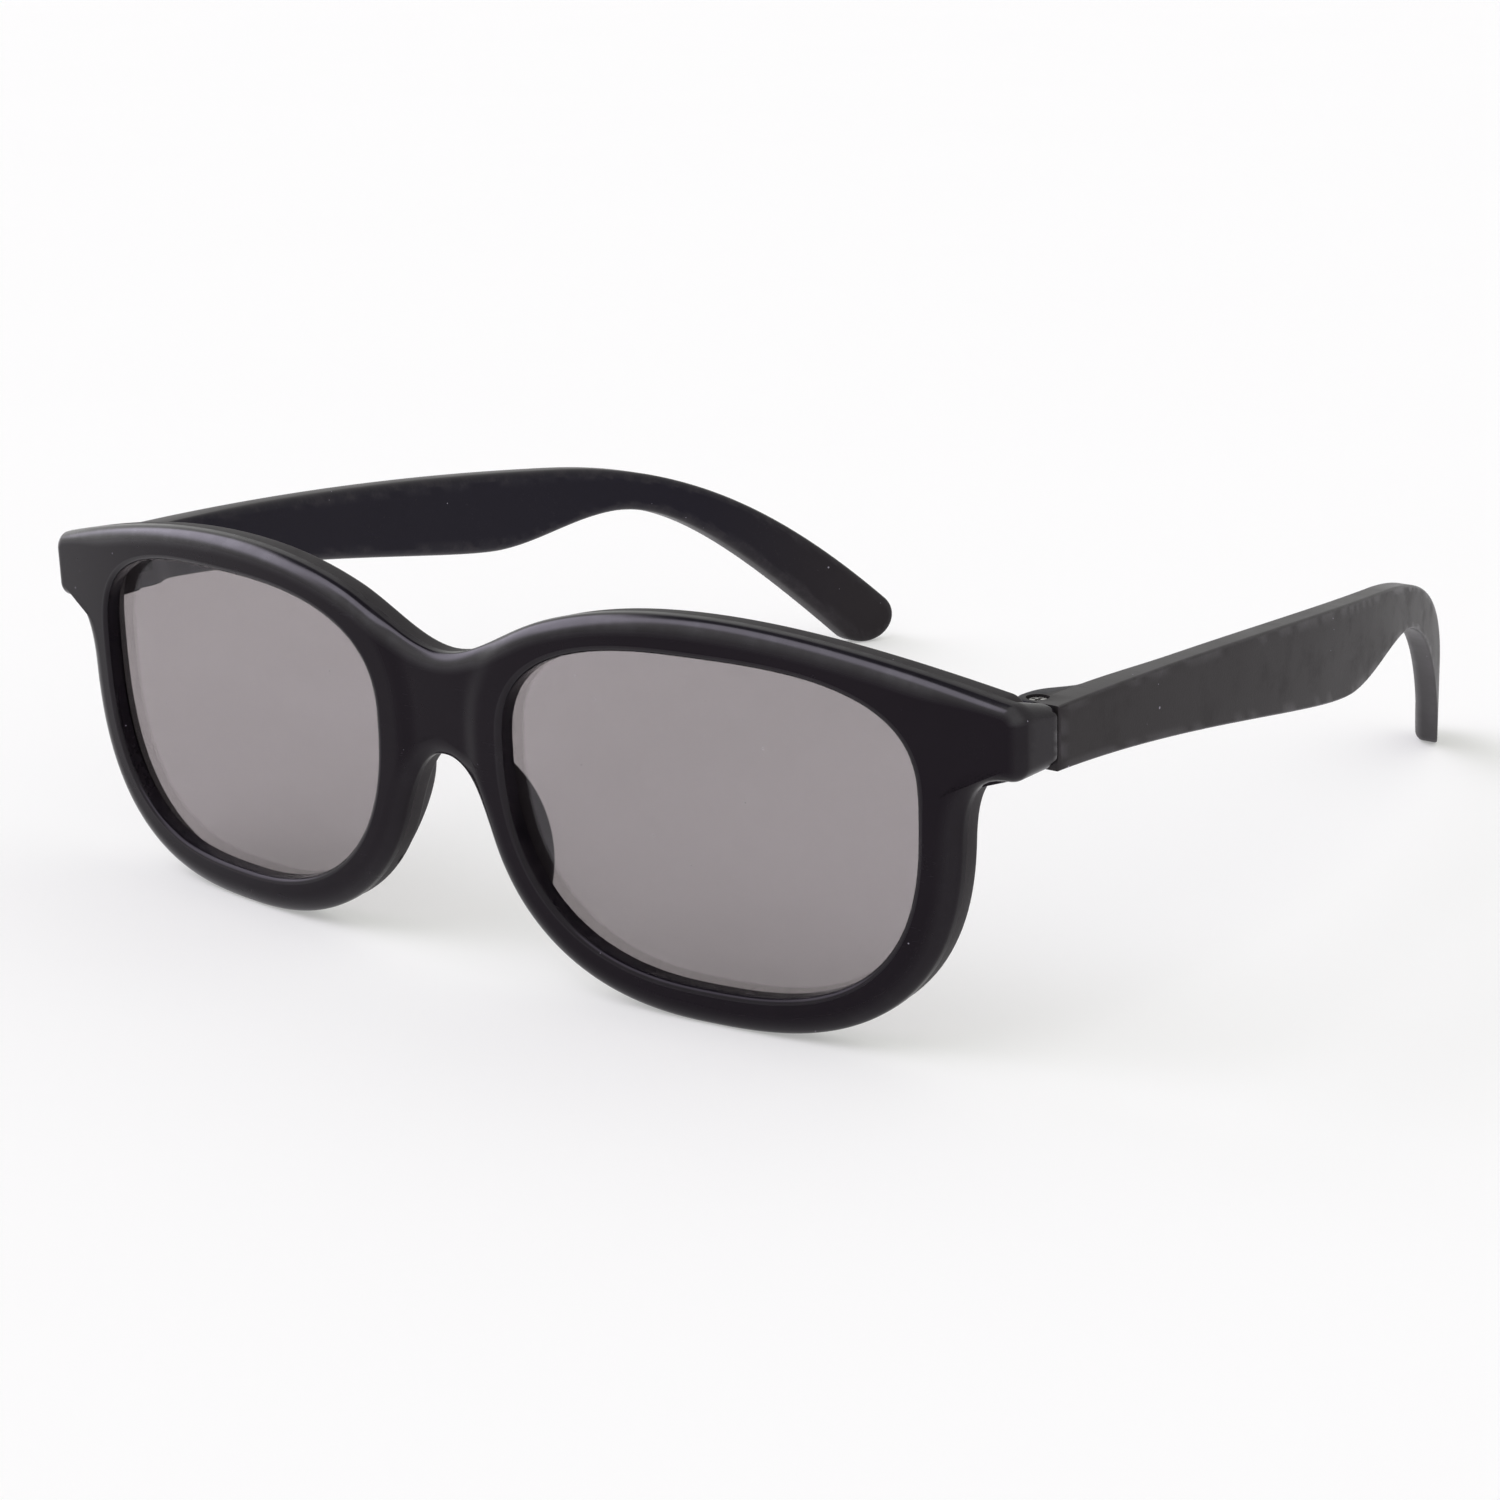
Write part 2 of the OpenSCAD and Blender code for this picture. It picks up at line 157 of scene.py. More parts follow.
class Graph:
    """A node tree in which one method makes every node."""

    def __init__(self, tree: bpy.types.NodeTree) -> None:
        """Take over a tree and clear it."""
        self.tree = tree
        tree.nodes.clear()

    def node(
        self, kind: str, inputs: dict[Any, Any] | None = None, **settings: Any
    ) -> bpy.types.Node:
        """Add a node.

        Args:
            kind: Blender's type of the node.
            inputs: Values, sockets or colours by input name or index.
            settings: Properties of the node, set first.

        Returns:
            The new node.
        """
        made = self.tree.nodes.new(kind)
        for name, value in settings.items():
            setattr(made, name, value)
        for key, value in (inputs or {}).items():
            source = value.socket if isinstance(value, Value) else value
            if isinstance(source, Socket):
                self.tree.links.new(source, made.inputs[key])
            else:
                made.inputs[key].default_value = source
        return made

    def noise(self, place: Socket, scale: float, detail: float = 3.0, rough: float = 0.5) -> Value:
        """Soft random field around 0.5, with its scale in features to a metre."""
        inputs = {"Vector": place, "Scale": scale, "Detail": detail, "Roughness": rough}
        return Value(self, self.node("ShaderNodeTexNoise", inputs).outputs[0])

    def streaks(self, place: Socket, turn: Point, along: float, across: float) -> Value:
        """Random field drawn out along one direction.

        Args:
            place: Coordinates of the pattern.
            turn: Tilt and turn of the direction in radians.
            along: Features in a metre along the direction.
            across: Features in a metre across it.

        Returns:
            The field, around 0.5.
        """
        mapped = self.node(
            "ShaderNodeMapping",
            {"Vector": place, "Rotation": (0.0, *turn), "Scale": (along, across, across)},
        )
        return self.noise(mapped.outputs[0], 1.0, 1.0)

    def specks(self, place: Socket, scale: float, share: float, size: float) -> Value:
        """Small separate grains of dust.

        Args:
            place: Coordinates of the pattern.
            scale: Number of cells in a metre.
            share: Share of the cells that hold a grain.
            size: Radius of a grain as a share of a cell.

        Returns:
            1 inside a grain and 0 elsewhere.
        """
        cells = self.node("ShaderNodeTexVoronoi", {"Vector": place, "Scale": scale})
        split = self.node("ShaderNodeSeparateColor", {0: cells.outputs["Color"]})
        chosen = Value(self, split.outputs[0]).rise(1.0 - share, 1.001 - share)
        near = 1.0 - Value(self, cells.outputs["Distance"]).rise(0.5 * size, size)
        return chosen * near

    def mark(self, name: str) -> Value:
        """Level of a mark that the mesh carries."""
        return Value(self, self.node("ShaderNodeAttribute", attribute_name=name).outputs["Fac"])

    def blend(self, factor: Value, low: Any, high: Any) -> Socket:
        """Colour between two colours.

        Args:
            factor: 0 for the first colour, 1 for the second.
            low: First colour, written or linked.
            high: Second colour, written or linked.

        Returns:
            The mixed colour.
        """
        ends = [c if isinstance(c, Socket) else (*c, 1.0) for c in (low, high)]
        inputs = {0: factor, 6: ends[0], 7: ends[1]}
        return self.node("ShaderNodeMix", inputs, data_type="RGBA").outputs[2]

    def bump(self, height: Value, depth: float, strength: float = 1.0) -> Socket:
        """Normal bent by a field of heights."""
        inputs = {"Strength": strength, "Distance": depth, "Height": height}
        return self.node("ShaderNodeBump", inputs).outputs[0]

    def end(self, inputs: dict[str, Any]) -> None:
        """End the material in one principled shader."""
        shader = self.node("ShaderNodeBsdfPrincipled", inputs)
        self.node("ShaderNodeOutputMaterial", {"Surface": shader.outputs[0]})


def new_graph(name: str) -> tuple[Material, Graph, Socket]:
    """Make an empty node material.

    Args:
        name: Name of the material.

    Returns:
        The material, its graph and the coordinates on the piece.
    """
    material = bpy.data.materials.new(name)
    material.use_nodes = True
    graph = Graph(material.node_tree)
    return material, graph, graph.node("ShaderNodeTexCoord").outputs["Object"]


@dataclass(frozen=True)
class Plastic:
    """Moulded plastic with cloudy colour, fine grain, hairline scratches and dust."""

    name: str
    color: Rgb
    cloud: Rgb
    # Lighter colour for scratches, edge wear and the painted edge highlight
    wear_highlight: Rgb
    roughness: float
    haze: float
    specular: float
    grain: float
    grain_scale: float
    scratch: float
    dust: float
    polish: float = 0.0
    # Colour of a painted shade, darker and bluer, for faces that carry the inside mark
    inside: Rgb | None = None
    sheen: Rgb = (1.0, 0.84, 0.98)
    polish_tint: Rgb = (0.96, 0.93, 1.0)
    coat_roughness: float = 0.14
    coat_ior: float = 1.6
    grain_depth: float = 0.00002
    dust_color: Rgb = (0.30, 0.28, 0.34)

    def material(self) -> Material:
        """Build the material.

        Returns:
            The finished material.
        """
        material, graph, place = new_graph(self.name)
        cloud = graph.noise(place, scale=60.0, detail=4.0, rough=0.55).rise(0.32, 0.70)
        haze = graph.noise(place, scale=210.0, detail=5.0, rough=0.65).rise(0.45, 0.75)
        lines = graph.streaks(place, (0.5, 0.7), along=70.0, across=3400.0).rise(0.69, 0.74)
        more = graph.streaks(place, (-0.3, 2.2), along=90.0, across=4200.0).rise(0.70, 0.75)
        rare = graph.noise(place, scale=95.0, detail=2.0).rise(0.50, 0.62)
        lines = lines.at_least(more) * rare
        dust = graph.specks(place, scale=560.0, share=self.dust, size=0.11)
        fine = graph.specks(place, scale=1300.0, share=0.6 * self.dust, size=0.14)
        dust = dust.at_least(fine)
        # Edge wear and painted highlight: in worn patches the edge mark lightens rounded edges, and
        # it sets the coat
        edge = graph.mark("edge")
        worn = graph.noise(place, scale=420.0, detail=4.0, rough=0.6).rise(0.40, 0.70)
        wear_highlight_mask = edge * worn
        body = graph.blend(cloud, self.color, self.cloud)
        # Painted shade: faces with the inside mark are blended towards the darker, bluer inside
        # colour
        if self.inside:
            body = graph.blend(graph.mark("inside"), body, self.inside)
        body = graph.blend(wear_highlight_mask, body, self.wear_highlight)
        body = graph.blend(lines * self.scratch, body, self.wear_highlight)
        body = graph.blend(dust, body, self.dust_color)
        rough = self.roughness + self.haze * haze + 0.06 * cloud
        rough = rough + 0.25 * lines * self.scratch + 0.4 * dust
        coat = edge * (self.polish * (0.8 + 0.2 * haze)) if self.polish else 0.0
        grain = graph.noise(place, scale=self.grain_scale, detail=2.0)
        height = self.grain * grain - 0.35 * self.scratch * lines + 1.2 * dust
        graph.end(
            {
                "Base Color": body,
                "Roughness": rough,
                "Specular IOR Level": self.specular,
                "Specular Tint": (*self.sheen, 1.0),
                "Coat Weight": coat,
                "Coat Roughness": self.coat_roughness,
                "Coat IOR": self.coat_ior,
                "Coat Tint": (*self.polish_tint, 1.0),
                "Normal": graph.bump(height, self.grain_depth),
            }
        )
        return material


@dataclass(frozen=True)
class LensFilm:
    """Optical sheet: a bonded dark film, or a clear one with gloss, faint smears and dust."""

    name: str
    tint: Rgb
    body: float = 0.0
    gloss: float = 0.0
    smear: float = 0.0
    dark: Rgb = (0.013, 0.012, 0.013)
    mirror: Rgb = (0.93, 0.91, 0.96)
    dust_color: Rgb = (0.55, 0.53, 0.55)

    def material(self) -> Material:
        """Build the material.

        Returns:
            The finished material.
        """
        material, graph, place = new_graph(self.name)
        smear = graph.streaks(place, (0.2, 0.9), along=22.0, across=75.0).rise(0.48, 0.78)
        clear = graph.node("ShaderNodeBsdfTransparent", {"Color": (*self.tint, 1.0)})
        if self.gloss:
            dust = graph.specks(place, scale=420.0, share=0.10, size=0.07)
            share = self.gloss + self.smear * smear + 0.4 * dust
            skin = {
                "Base Color": graph.blend(dust, self.mirror, self.dust_color),
                "Metallic": 1.0 - dust,
                "Roughness": 0.05 + 0.12 * smear,
            }
        else:
            share = self.body
            paler = tuple(1.3 * c for c in self.dark)
            skin = {
                "Base Color": graph.blend(smear, self.dark, paler),
                "Roughness": 0.4 + 0.1 * smear,
                "Specular IOR Level": 0.0,
            }
        face = graph.node("ShaderNodeBsdfPrincipled", skin)
        inputs = {0: share, 1: clear.outputs[0], 2: face.outputs[0]}
        mixed = graph.node("ShaderNodeMixShader", inputs)
        graph.node("ShaderNodeOutputMaterial", {"Surface": mixed.outputs[0]})
        return material


@dataclass(frozen=True)
class PlatedSteel:
    """Bright plated steel with turning marks and dull spots."""

    name: str
    color: Rgb
    dull: Rgb
    roughness: float
    ring_depth: float = 0.00001

    def material(self) -> Material:
        """Build the material.

        Returns:
            The finished material.
        """
        material, graph, place = new_graph(self.name)
        spots = graph.noise(place, scale=1800.0, detail=4.0, rough=0.6).rise(0.42, 0.68)
        rings = graph.streaks(place, (0.0, 0.0), along=600.0, across=9000.0)
        graph.end(
            {
                "Base Color": graph.blend(spots, self.color, self.dull),
                "Metallic": 1.0,
                "Roughness": self.roughness + 0.2 * spots,
                "Normal": graph.bump(rings, self.ring_depth, 0.5),
            }
        )
        return material


@dataclass(frozen=True)
class FloorPaint:
    """Pale matt floor, lit softly from below, with a barely visible mottle."""

    name: str
    color: Rgb
    shade: Rgb
    glow: float

    def material(self) -> Material:
        """Build the material.

        Returns:
            The finished material.
        """
        material, graph, place = new_graph(self.name)
        mottle = graph.noise(place, scale=9.0, detail=3.0)
        graph.end(
            {
                "Base Color": graph.blend(mottle, self.color, self.shade),
                "Roughness": 0.9,
                "Specular IOR Level": 0.1,
                "Emission Color": (1.0, 1.0, 1.0, 1.0),
                "Emission Strength": self.glow,
            }
        )
        return material


GLOSS_SHELL = Plastic(
    name="gloss_black_shell",
    color=(0.0042, 0.0032, 0.0050),
    cloud=(0.0056, 0.0044, 0.0064),
    wear_highlight=(0.010, 0.0092, 0.012),
    roughness=0.19,
    haze=0.06,
    specular=0.13,
    grain=0.10,
    grain_scale=2600.0,
    scratch=0.35,
    dust=0.022,
    polish=1.0,
)
MATT_SHELL = Plastic(
    name="matt_grey_shell",
    color=(0.0085, 0.0080, 0.0085),
    cloud=(0.0115, 0.0105, 0.0110),
    wear_highlight=(0.020, 0.019, 0.020),
    roughness=0.48,
    haze=0.08,
    specular=0.25,
    grain=0.9,
    grain_scale=4200.0,
    scratch=0.2,
    dust=0.025,
)
TEMPLE_PLASTIC = Plastic(
    name="satin_temple_plastic",
    color=(0.0150, 0.0136, 0.0138),
    cloud=(0.0172, 0.0156, 0.0159),
    wear_highlight=(0.030, 0.027, 0.030),
    roughness=0.40,
    haze=0.08,
    specular=0.17,
    grain=0.55,
    grain_scale=3800.0,
    scratch=0.45,
    dust=0.035,
    polish=0.25,
    # Painted shade on the temples' inner faces and knuckles, darker and bluer than the outer faces
    inside=(0.0050, 0.0053, 0.0105),
)
FILMS = {
    Layer.RETARDER: LensFilm("retarder_film_face", (0.985, 0.975, 0.978), gloss=0.030, smear=0.012),
    Layer.POLARISER: LensFilm("polariser_film_tint", (1.0, 0.961, 0.968), body=0.42),
    Layer.BACKING: LensFilm("backing_sheet_clear", (0.985, 0.985, 0.985), gloss=0.025, smear=0.006),
}
STEEL = PlatedSteel("plated_screw_steel", (0.66, 0.65, 0.64), (0.40, 0.39, 0.38), 0.24)
FLOOR = FloorPaint("pale_floor", (0.67, 0.67, 0.65), (0.66, 0.66, 0.64), 0.32)


def cubic(points: Sequence[Array], count: int) -> Array:
    """Points along a cubic curve.

    Args:
        points: The four control points.
        count: Number of steps.

    Returns:
        One row for each point.
    """
    t = np.linspace(0.0, 1.0, count + 1)[:, None]
    s = 1.0 - t
    a, b, c, d = (np.asarray(p, float) for p in points)
    return s**3 * a + 3 * s * s * t * b + 3 * s * t * t * c + t**3 * d


def span(start: Array, end: Array, pulls: Sequence[Any], count: int) -> Array:
    """Cubic curve between two points, with the pull of each end as an offset from it."""
    return cubic([start, start + pulls[0], end + pulls[1], end], count)


def resample(line: Array, count: int) -> Array:
    """Even points along a polyline.

    Args:
        line: The polyline, one row for each point.
        count: Number of steps.

    Returns:
        The new polyline.
    """
    run = np.r_[0.0, np.cumsum(np.hypot(*np.diff(line, axis=0).T))]
    at = np.linspace(0.0, run[-1], count + 1)
    return np.column_stack([np.interp(at, run, line[:, k]) for k in range(2)])


def joined(*lines: Array) -> Array:
    """Polyline through several that share their end points."""
    return np.vstack([lines[0], *(line[1:] for line in lines[1:])])


def moved_in(ring: Array, before: Array, after: Array, inset: Any) -> Array:
    """Clockwise line moved inward along its own normals.

    Args:
        ring: The line.
        before: The point before its first.
        after: The point after its last.
        inset: Distance inward, one for all points or one for each.

    Returns:
        The moved line.
    """
    whole = np.vstack([before, ring, after])
    run = whole[2:] - whole[:-2]
    run = run / np.linalg.norm(run, axis=1, keepdims=True)
    return ring + np.reshape(inset, (-1, 1)) * np.column_stack([run[:, 1], -run[:, 0]])


def eased(value: Any, low: float, high: float) -> Any:
    """Smooth rise from 0 at low to 1 at high."""
    t = np.clip((value - low) / (high - low), 0.0, 1.0)
    return t * t * (3.0 - 2.0 * t)


def quarter(count: int) -> list[Point]:
    """Sine and cosine pairs over a quarter turn."""
    turns = np.linspace(0.0, math.pi / 2, count + 1)
    return [(math.sin(a), math.cos(a)) for a in turns]


class Skin:
    """Rows of points joined into a mesh of quads, in millimetres."""

    # edge: edge wear plus a painted highlight on rounded edges; inside: painted shade on inner
    # faces
    MARKS = ("edge", "inside")

    def __init__(self) -> None:
        """Start with no points."""
        self.points: list[Array] = []
        self.marks: dict[str, list[Array]] = {name: [] for name in self.MARKS}
        self.faces: list[tuple[int, ...]] = []
        self.count = 0

    def rows(self, rows: Sequence[Array], closed: bool, **marks: Sequence[float]) -> None:
        """Join rows of equal length.

        Args:
            rows: The rows, each with one point in three numbers on a line.
            closed: True where each row runs round to its start.
            marks: Level of each row in the named marks, 0 where a mark is left out.
        """
        width = len(rows[0])
        self.points += [np.asarray(row, float) for row in rows]
        for name in self.MARKS:
            levels = marks.get(name) or [0.0] * len(rows)
            self.marks[name] += [np.full(width, level) for level in levels]
        for r in range(len(rows) - 1):
            a = self.count + r * width
            for i in range(width if closed else width - 1):
                j = (i + 1) % width
                self.faces.append((a + i, a + j, a + width + j, a + width + i))
        self.count += width * len(rows)

    def mirror(self) -> None:
        """Add the same surface across the middle plane."""
        points = np.vstack(self.points)
        self.points.append(points * np.array([-1.0, 1.0, 1.0]))
        for name in self.MARKS:
            self.marks[name].append(np.concatenate(self.marks[name]))
        self.faces += [tuple(i + self.count for i in reversed(f)) for f in self.faces]
        self.count *= 2

    def build(self, name: str) -> Obj:
        """Weld the rows and make the object.

        Args:
            name: Name of the object.

        Returns:
            The new object, linked to the scene.
        """
        mesh = bpy.data.meshes.new(name)
        points = np.vstack(self.points) * MM
        mesh.from_pydata(points.tolist(), [], self.faces)
        for mark, levels in self.marks.items():
            values = mesh.attributes.new(mark, "FLOAT", "POINT").data
            values.foreach_set("value", np.concatenate(levels))
        obj = bpy.data.objects.new(name, mesh)
        bpy.context.collection.objects.link(obj)
        close_up(obj)
        return obj


def close_up(obj: Obj) -> None:
    """Merge doubles, drop slivers and turn the faces outwards.

    Args:
        obj: The object whose mesh is mended.
    """
    mesh = bmesh.new()
    mesh.from_mesh(obj.data)
    bmesh.ops.remove_doubles(mesh, verts=mesh.verts, dist=WELD * MM)
    bmesh.ops.dissolve_degenerate(mesh, edges=mesh.edges, dist=0.1 * WELD * MM)
    bmesh.ops.recalc_face_normals(mesh, faces=mesh.faces)
    mesh.to_mesh(obj.data)
    mesh.free()


def harden(obj: Obj) -> None:
    """Turn an object's modifiers into its plain mesh.

    Args:
        obj: The object with live modifiers.
    """
    graph = bpy.context.evaluated_depsgraph_get()
    mesh = bpy.data.meshes.new_from_object(obj.evaluated_get(graph))
    obj.modifiers.clear()
    old, obj.data = obj.data, mesh
    mesh.name = obj.name
    bpy.data.meshes.remove(old)


def cut_or_join(base: Obj, tools: Sequence[Obj], operation: str) -> None:
    """Apply Booleans one after another and remove the tools.

    Args:
        base: The object that is changed.
        tools: The objects that cut it or join it.
        operation: UNION or DIFFERENCE.
    """
    for tool in tools:
        modifier = base.modifiers.new(operation.lower(), "BOOLEAN")
        modifier.operation = operation
        modifier.solver = "MANIFOLD"
        modifier.object = tool
    harden(base)
    for tool in tools:
        bpy.data.objects.remove(tool, do_unlink=True)


def smooth(obj: Obj) -> None:
    """Shade smooth, with crisp edges where faces meet steeply."""
    obj.data.shade_smooth()
    obj.data.set_sharp_from_angle(angle=SMOOTH_ANGLE)


def dress(obj: Obj, material: Material) -> None:
    """Give an object one material all over."""
    obj.data.materials.clear()
    obj.data.materials.append(material)


def attach(obj: Obj, place: Matrix, body: str, node: str) -> None:
    """Set a finished piece in its place and tie it to the frame.

    Args:
        obj: The finished piece.
        place: Where the upright drawing stands on the floor.
        body: The body that it moves with.
        node: The CAD node that it stands for.
    """
    obj.data.transform(place)
    smooth(obj)
    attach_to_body(obj, body)
    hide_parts(node)
    LOG.info("%s: %d faces on %s", obj.name, len(obj.data.polygons), body)


def prism(name: str, outline: Array, low: float, high: float, soft: float = 0.0) -> Obj:
    """Upright prism in place.

    Args:
        name: Name of the object.
        outline: Clockwise outline in X and Y.
        low: Height of its underside.
        high: Height of its top.
        soft: Radius of its top and bottom edges.

    Returns:
        The closed object.
    """
    layers = [(0.0, low)]
    if soft:
        layers = [(soft * (1 - s), low + soft * (1 - c)) for s, c in quarter(4)]
    layers += [(inset, low + high - z) for inset, z in reversed(layers)]
    middle = outline.mean(axis=0)
    skin = Skin()
    rings = [(moved_in(outline, outline[-1], outline[0], e), z) for e, z in layers]
    rows = [np.column_stack([ring, np.full(len(ring), z)]) for ring, z in rings]
    centre = [np.tile([*middle, z], (len(outline), 1)) for z in (low, high)]
    skin.rows([centre[0], *rows, centre[1]], True)
    return skin.build(name)


def lathe(name: str, centre: Point, profile: Sequence[Point], count: int) -> Obj:
    """Turned solid round an upright axis.

    Args:
        name: Name of the object.
        centre: Place of the axis in X and Y.
        profile: Radius and height of each ring.
        count: Number of points in a ring.

    Returns:
        The closed object.
    """
    turn = np.linspace(0.0, 2 * math.pi, count, endpoint=False)
    x, y = np.cos(turn), np.sin(turn)
    skin = Skin()
    rings = [(centre[0] + r * x, centre[1] + r * y, np.full(count, z)) for r, z in profile]
    skin.rows([np.column_stack(ring) for ring in rings], True)
    return skin.build(name)


def disc_outline(
    centre: Point, radius: float, start: float = 360.0, end: float = 0.0, n: int = 48
) -> Array:
    """Clockwise arc between two angles in degrees, a whole circle unless they are given."""
    turn = np.radians(np.linspace(start, end, n, endpoint=abs(start - end) < 360.0))
    return np.column_stack([centre[0] + radius * np.cos(turn), centre[1] + radius * np.sin(turn)])


class Former:
    """A Geometry Nodes tree that gives a blank its final shape."""

    def __init__(self, name: str, sizes: Sequence[str]) -> None:
        """Make the tree with its named inputs.

        Args:
            name: Name of the tree.
            sizes: Names of the inputs that take a length or a number.
        """
        self.tree = bpy.data.node_groups.new(name, "GeometryNodeTree")
        self.graph = Graph(self.tree)
        face = self.tree.interface
        face.new_socket("Geometry", in_out="OUTPUT", socket_type="NodeSocketGeometry")
        face.new_socket("Geometry", in_out="INPUT", socket_type="NodeSocketGeometry")
        kinds = {size: "NodeSocketFloat" for size in sizes} | {"Material": "NodeSocketMaterial"}
        self.inputs = {
            label: face.new_socket(label, in_out="INPUT", socket_type=kind).identifier
            for label, kind in kinds.items()
        }
        self.start = self.graph.node("NodeGroupInput")

    def size(self, label: str) -> Value:
        """The named input as a value."""
        return Value(self.graph, self.start.outputs[label])

    def position(self) -> list[Value]:
        """Places of the blank's points.

        Returns:
            X, Y and Z.
        """
        place = self.graph.node("GeometryNodeInputPosition").outputs[0]
        split = self.graph.node("ShaderNodeSeparateXYZ", {0: place})
        return [Value(self.graph, split.outputs[k]) for k in range(3)]

    def move(self, x: Value, y: Value, z: Value) -> Socket:
        """Set the blank's points to new places.

        Args:
            x: New X.
            y: New Y.
            z: New Z.

        Returns:
            The moved blank.
        """
        place = self.graph.node("ShaderNodeCombineXYZ", {0: x, 1: y, 2: z})
        inputs = {"Geometry": self.start.outputs["Geometry"], "Position": place.outputs[0]}
        return self.graph.node("GeometryNodeSetPosition", inputs).outputs[0]

    def close(self, geometry: Socket) -> None:
        """End the tree in real geometry with its material.

        Args:
            geometry: What the tree has made.
        """
        real = self.graph.node("GeometryNodeRealizeInstances", {"Geometry": geometry})
        inputs = {"Geometry": real.outputs[0], "Material": self.start.outputs["Material"]}
        faced = self.graph.node("GeometryNodeSetMaterial", inputs)
        self.graph.node("NodeGroupOutput", {0: faced.outputs[0]})

    def apply(self, obj: Obj, values: dict[str, Any]) -> None:
        """Shape an object and keep the result as its plain mesh.

        Args:
            obj: The blank.
            values: Numbers and the material by input name.
        """
        modifier = obj.modifiers.new(self.tree.name, "NODES")
        modifier.node_group = self.tree
        for label, value in values.items():
            modifier[self.inputs[label]] = value
        harden(obj)
        close_up(obj)


def bow_former() -> Former:
    """Tree that bends a flat blank round the upright axis of the front's bow.

    Returns:
        The tree, whose blank has its depth behind the front face along Y.
    """
    former = Former("bow_of_the_front", ("Bow radius",))
    x, depth, z = former.position()
    radius = former.size("Bow radius")
    reach = radius - depth
    former.close(former.move(x, radius - (reach * reach - x * x).root(), z))
    return former


def toe_in_former() -> Former:
    """Tree that curves a straight temple blank inward towards the ear tip.

    Returns:
        The tree, whose blank has its depth along X and its length along Y.
    """
    former = Former("toe_in_of_a_temple", ("Half width", "Toe in", "Length", "Joint line"))
    depth, run, z = former.position()
    share = run.at_least(0.0) / former.size("Length")
    x = former.size("Half width") - former.size("Toe in") * share * share * share - depth
    former.close(former.move(x, run + former.size("Joint line"), z))
    return former


def thread_former() -> Former:
    """Tree that winds a screw thread round a shank.

    Returns:
        The tree, which adds the thread to the shank it is given.
    """
    former = Former("thread_of_a_screw", ("Turns", "Radius", "Height", "Ridge", "X", "Y", "Z"))
    graph = former.graph
    helix = graph.node(
        "GeometryNodeCurveSpiral",
        {
            "Resolution": 20,
            "Rotations": former.size("Turns"),
            "Start Radius": former.size("Radius"),
            "End Radius": former.size("Radius"),
            "Height": former.size("Height"),
        },
    )
    ridge = graph.node(
        "GeometryNodeCurvePrimitiveCircle", {"Resolution": 6, "Radius": former.size("Ridge")}
    )
    wound = graph.node(
        "GeometryNodeCurveToMesh",
        {"Curve": helix.outputs[0], "Profile Curve": ridge.outputs[0], "Fill Caps": True},
    )
    place = graph.node("ShaderNodeCombineXYZ", {k: former.size("XYZ"[k]) for k in range(3)})
    moved = graph.node(
        "GeometryNodeTransform", {"Geometry": wound.outputs[0], "Translation": place.outputs[0]}
    )
    both = graph.node("GeometryNodeJoinGeometry")
    for part in (former.start.outputs["Geometry"], moved.outputs[0]):
        former.tree.links.new(part, both.inputs[0])
    former.close(both.outputs[0])
    return former


@dataclass
class FrontSizes:
    """Sizes that the shells, the lenses and the hinges share."""

    bow_r: float = 320.0
    face_d: float = 2.2
    back_d: float = 2.6
    edge_r: float = 1.5
    lip_r: float = 0.7
    back_edge_r: float = 0.7
    rim_w: float = 4.3
    seam_step: float = 0.2
    seam_gap: float = 0.05
    open_w: float = 52.2
    open_h: float = 37.2
    open_gap: float = 19.2
    open_wide: float = 5.0
    squareness: tuple[float, float, float, float] = (2.9, 2.6, 2.8, 2.4)
    lens_land: float = 1.5
    lens_clear: float = 0.08
    lens_t: float = 0.8
    rear_open_step: float = 1.125
    bridge_drop: float = 8.6
    bridge_h: float = 12.0
    end_reach: float = 7.1
    end_drop: float = 5.8
    end_h: float = 7.8
    end_r: float = 1.7
    end_d: float = 6.8
    flange_t: float = 1.6
    flange_r: float = 1.1
    joint_gap: float = 0.3
    crest_slack: float = 0.02

    def __post_init__(self) -> None:
        """Work out the sizes that follow from the others."""
        self.front_h = self.open_h + 2 * self.rim_w
        self.front_d = self.face_d + self.back_d
        self.half_w = self.open_gap / 2 + self.open_w + self.rim_w + self.end_reach
        self.open_x = (self.open_gap + self.open_w) / 2
        self.open_z = self.rim_w + self.open_h / 2 + self.open_wide
        self.pocket_d = self.face_d + self.lens_t + self.seam_gap
        self.bridge_z = self.front_h - self.bridge_drop - self.bridge_h
        self.end_top = self.front_h - self.end_drop
        self.end_z = self.end_top - self.end_h
        self.joint_y = float(self.bow_y(self.half_w, 0.0)) + self.end_d
        self.temple_y = self.joint_y + self.joint_gap
        self.rear_side = self.half_w - self.flange_t - 2 * self.seam_gap

    def bow_y(self, x: Any, depth: float) -> Any:
        """Y of the bowed surface at a depth behind the front face."""
        return self.bow_r - np.sqrt((self.bow_r - depth) ** 2 - np.square(x))

    def depth_at(self, x: Any, y: Any) -> Any:
        """Depth behind the front face of a point in plan."""
        return self.bow_r - np.sqrt(np.square(self.bow_r - y) + np.square(x))


@dataclass
class HalfOutline:
    """One half of the front's outline, matched point by point to its lens opening."""

    chain: Array
    angles: Array
    middle_angles: Array
    corner: slice


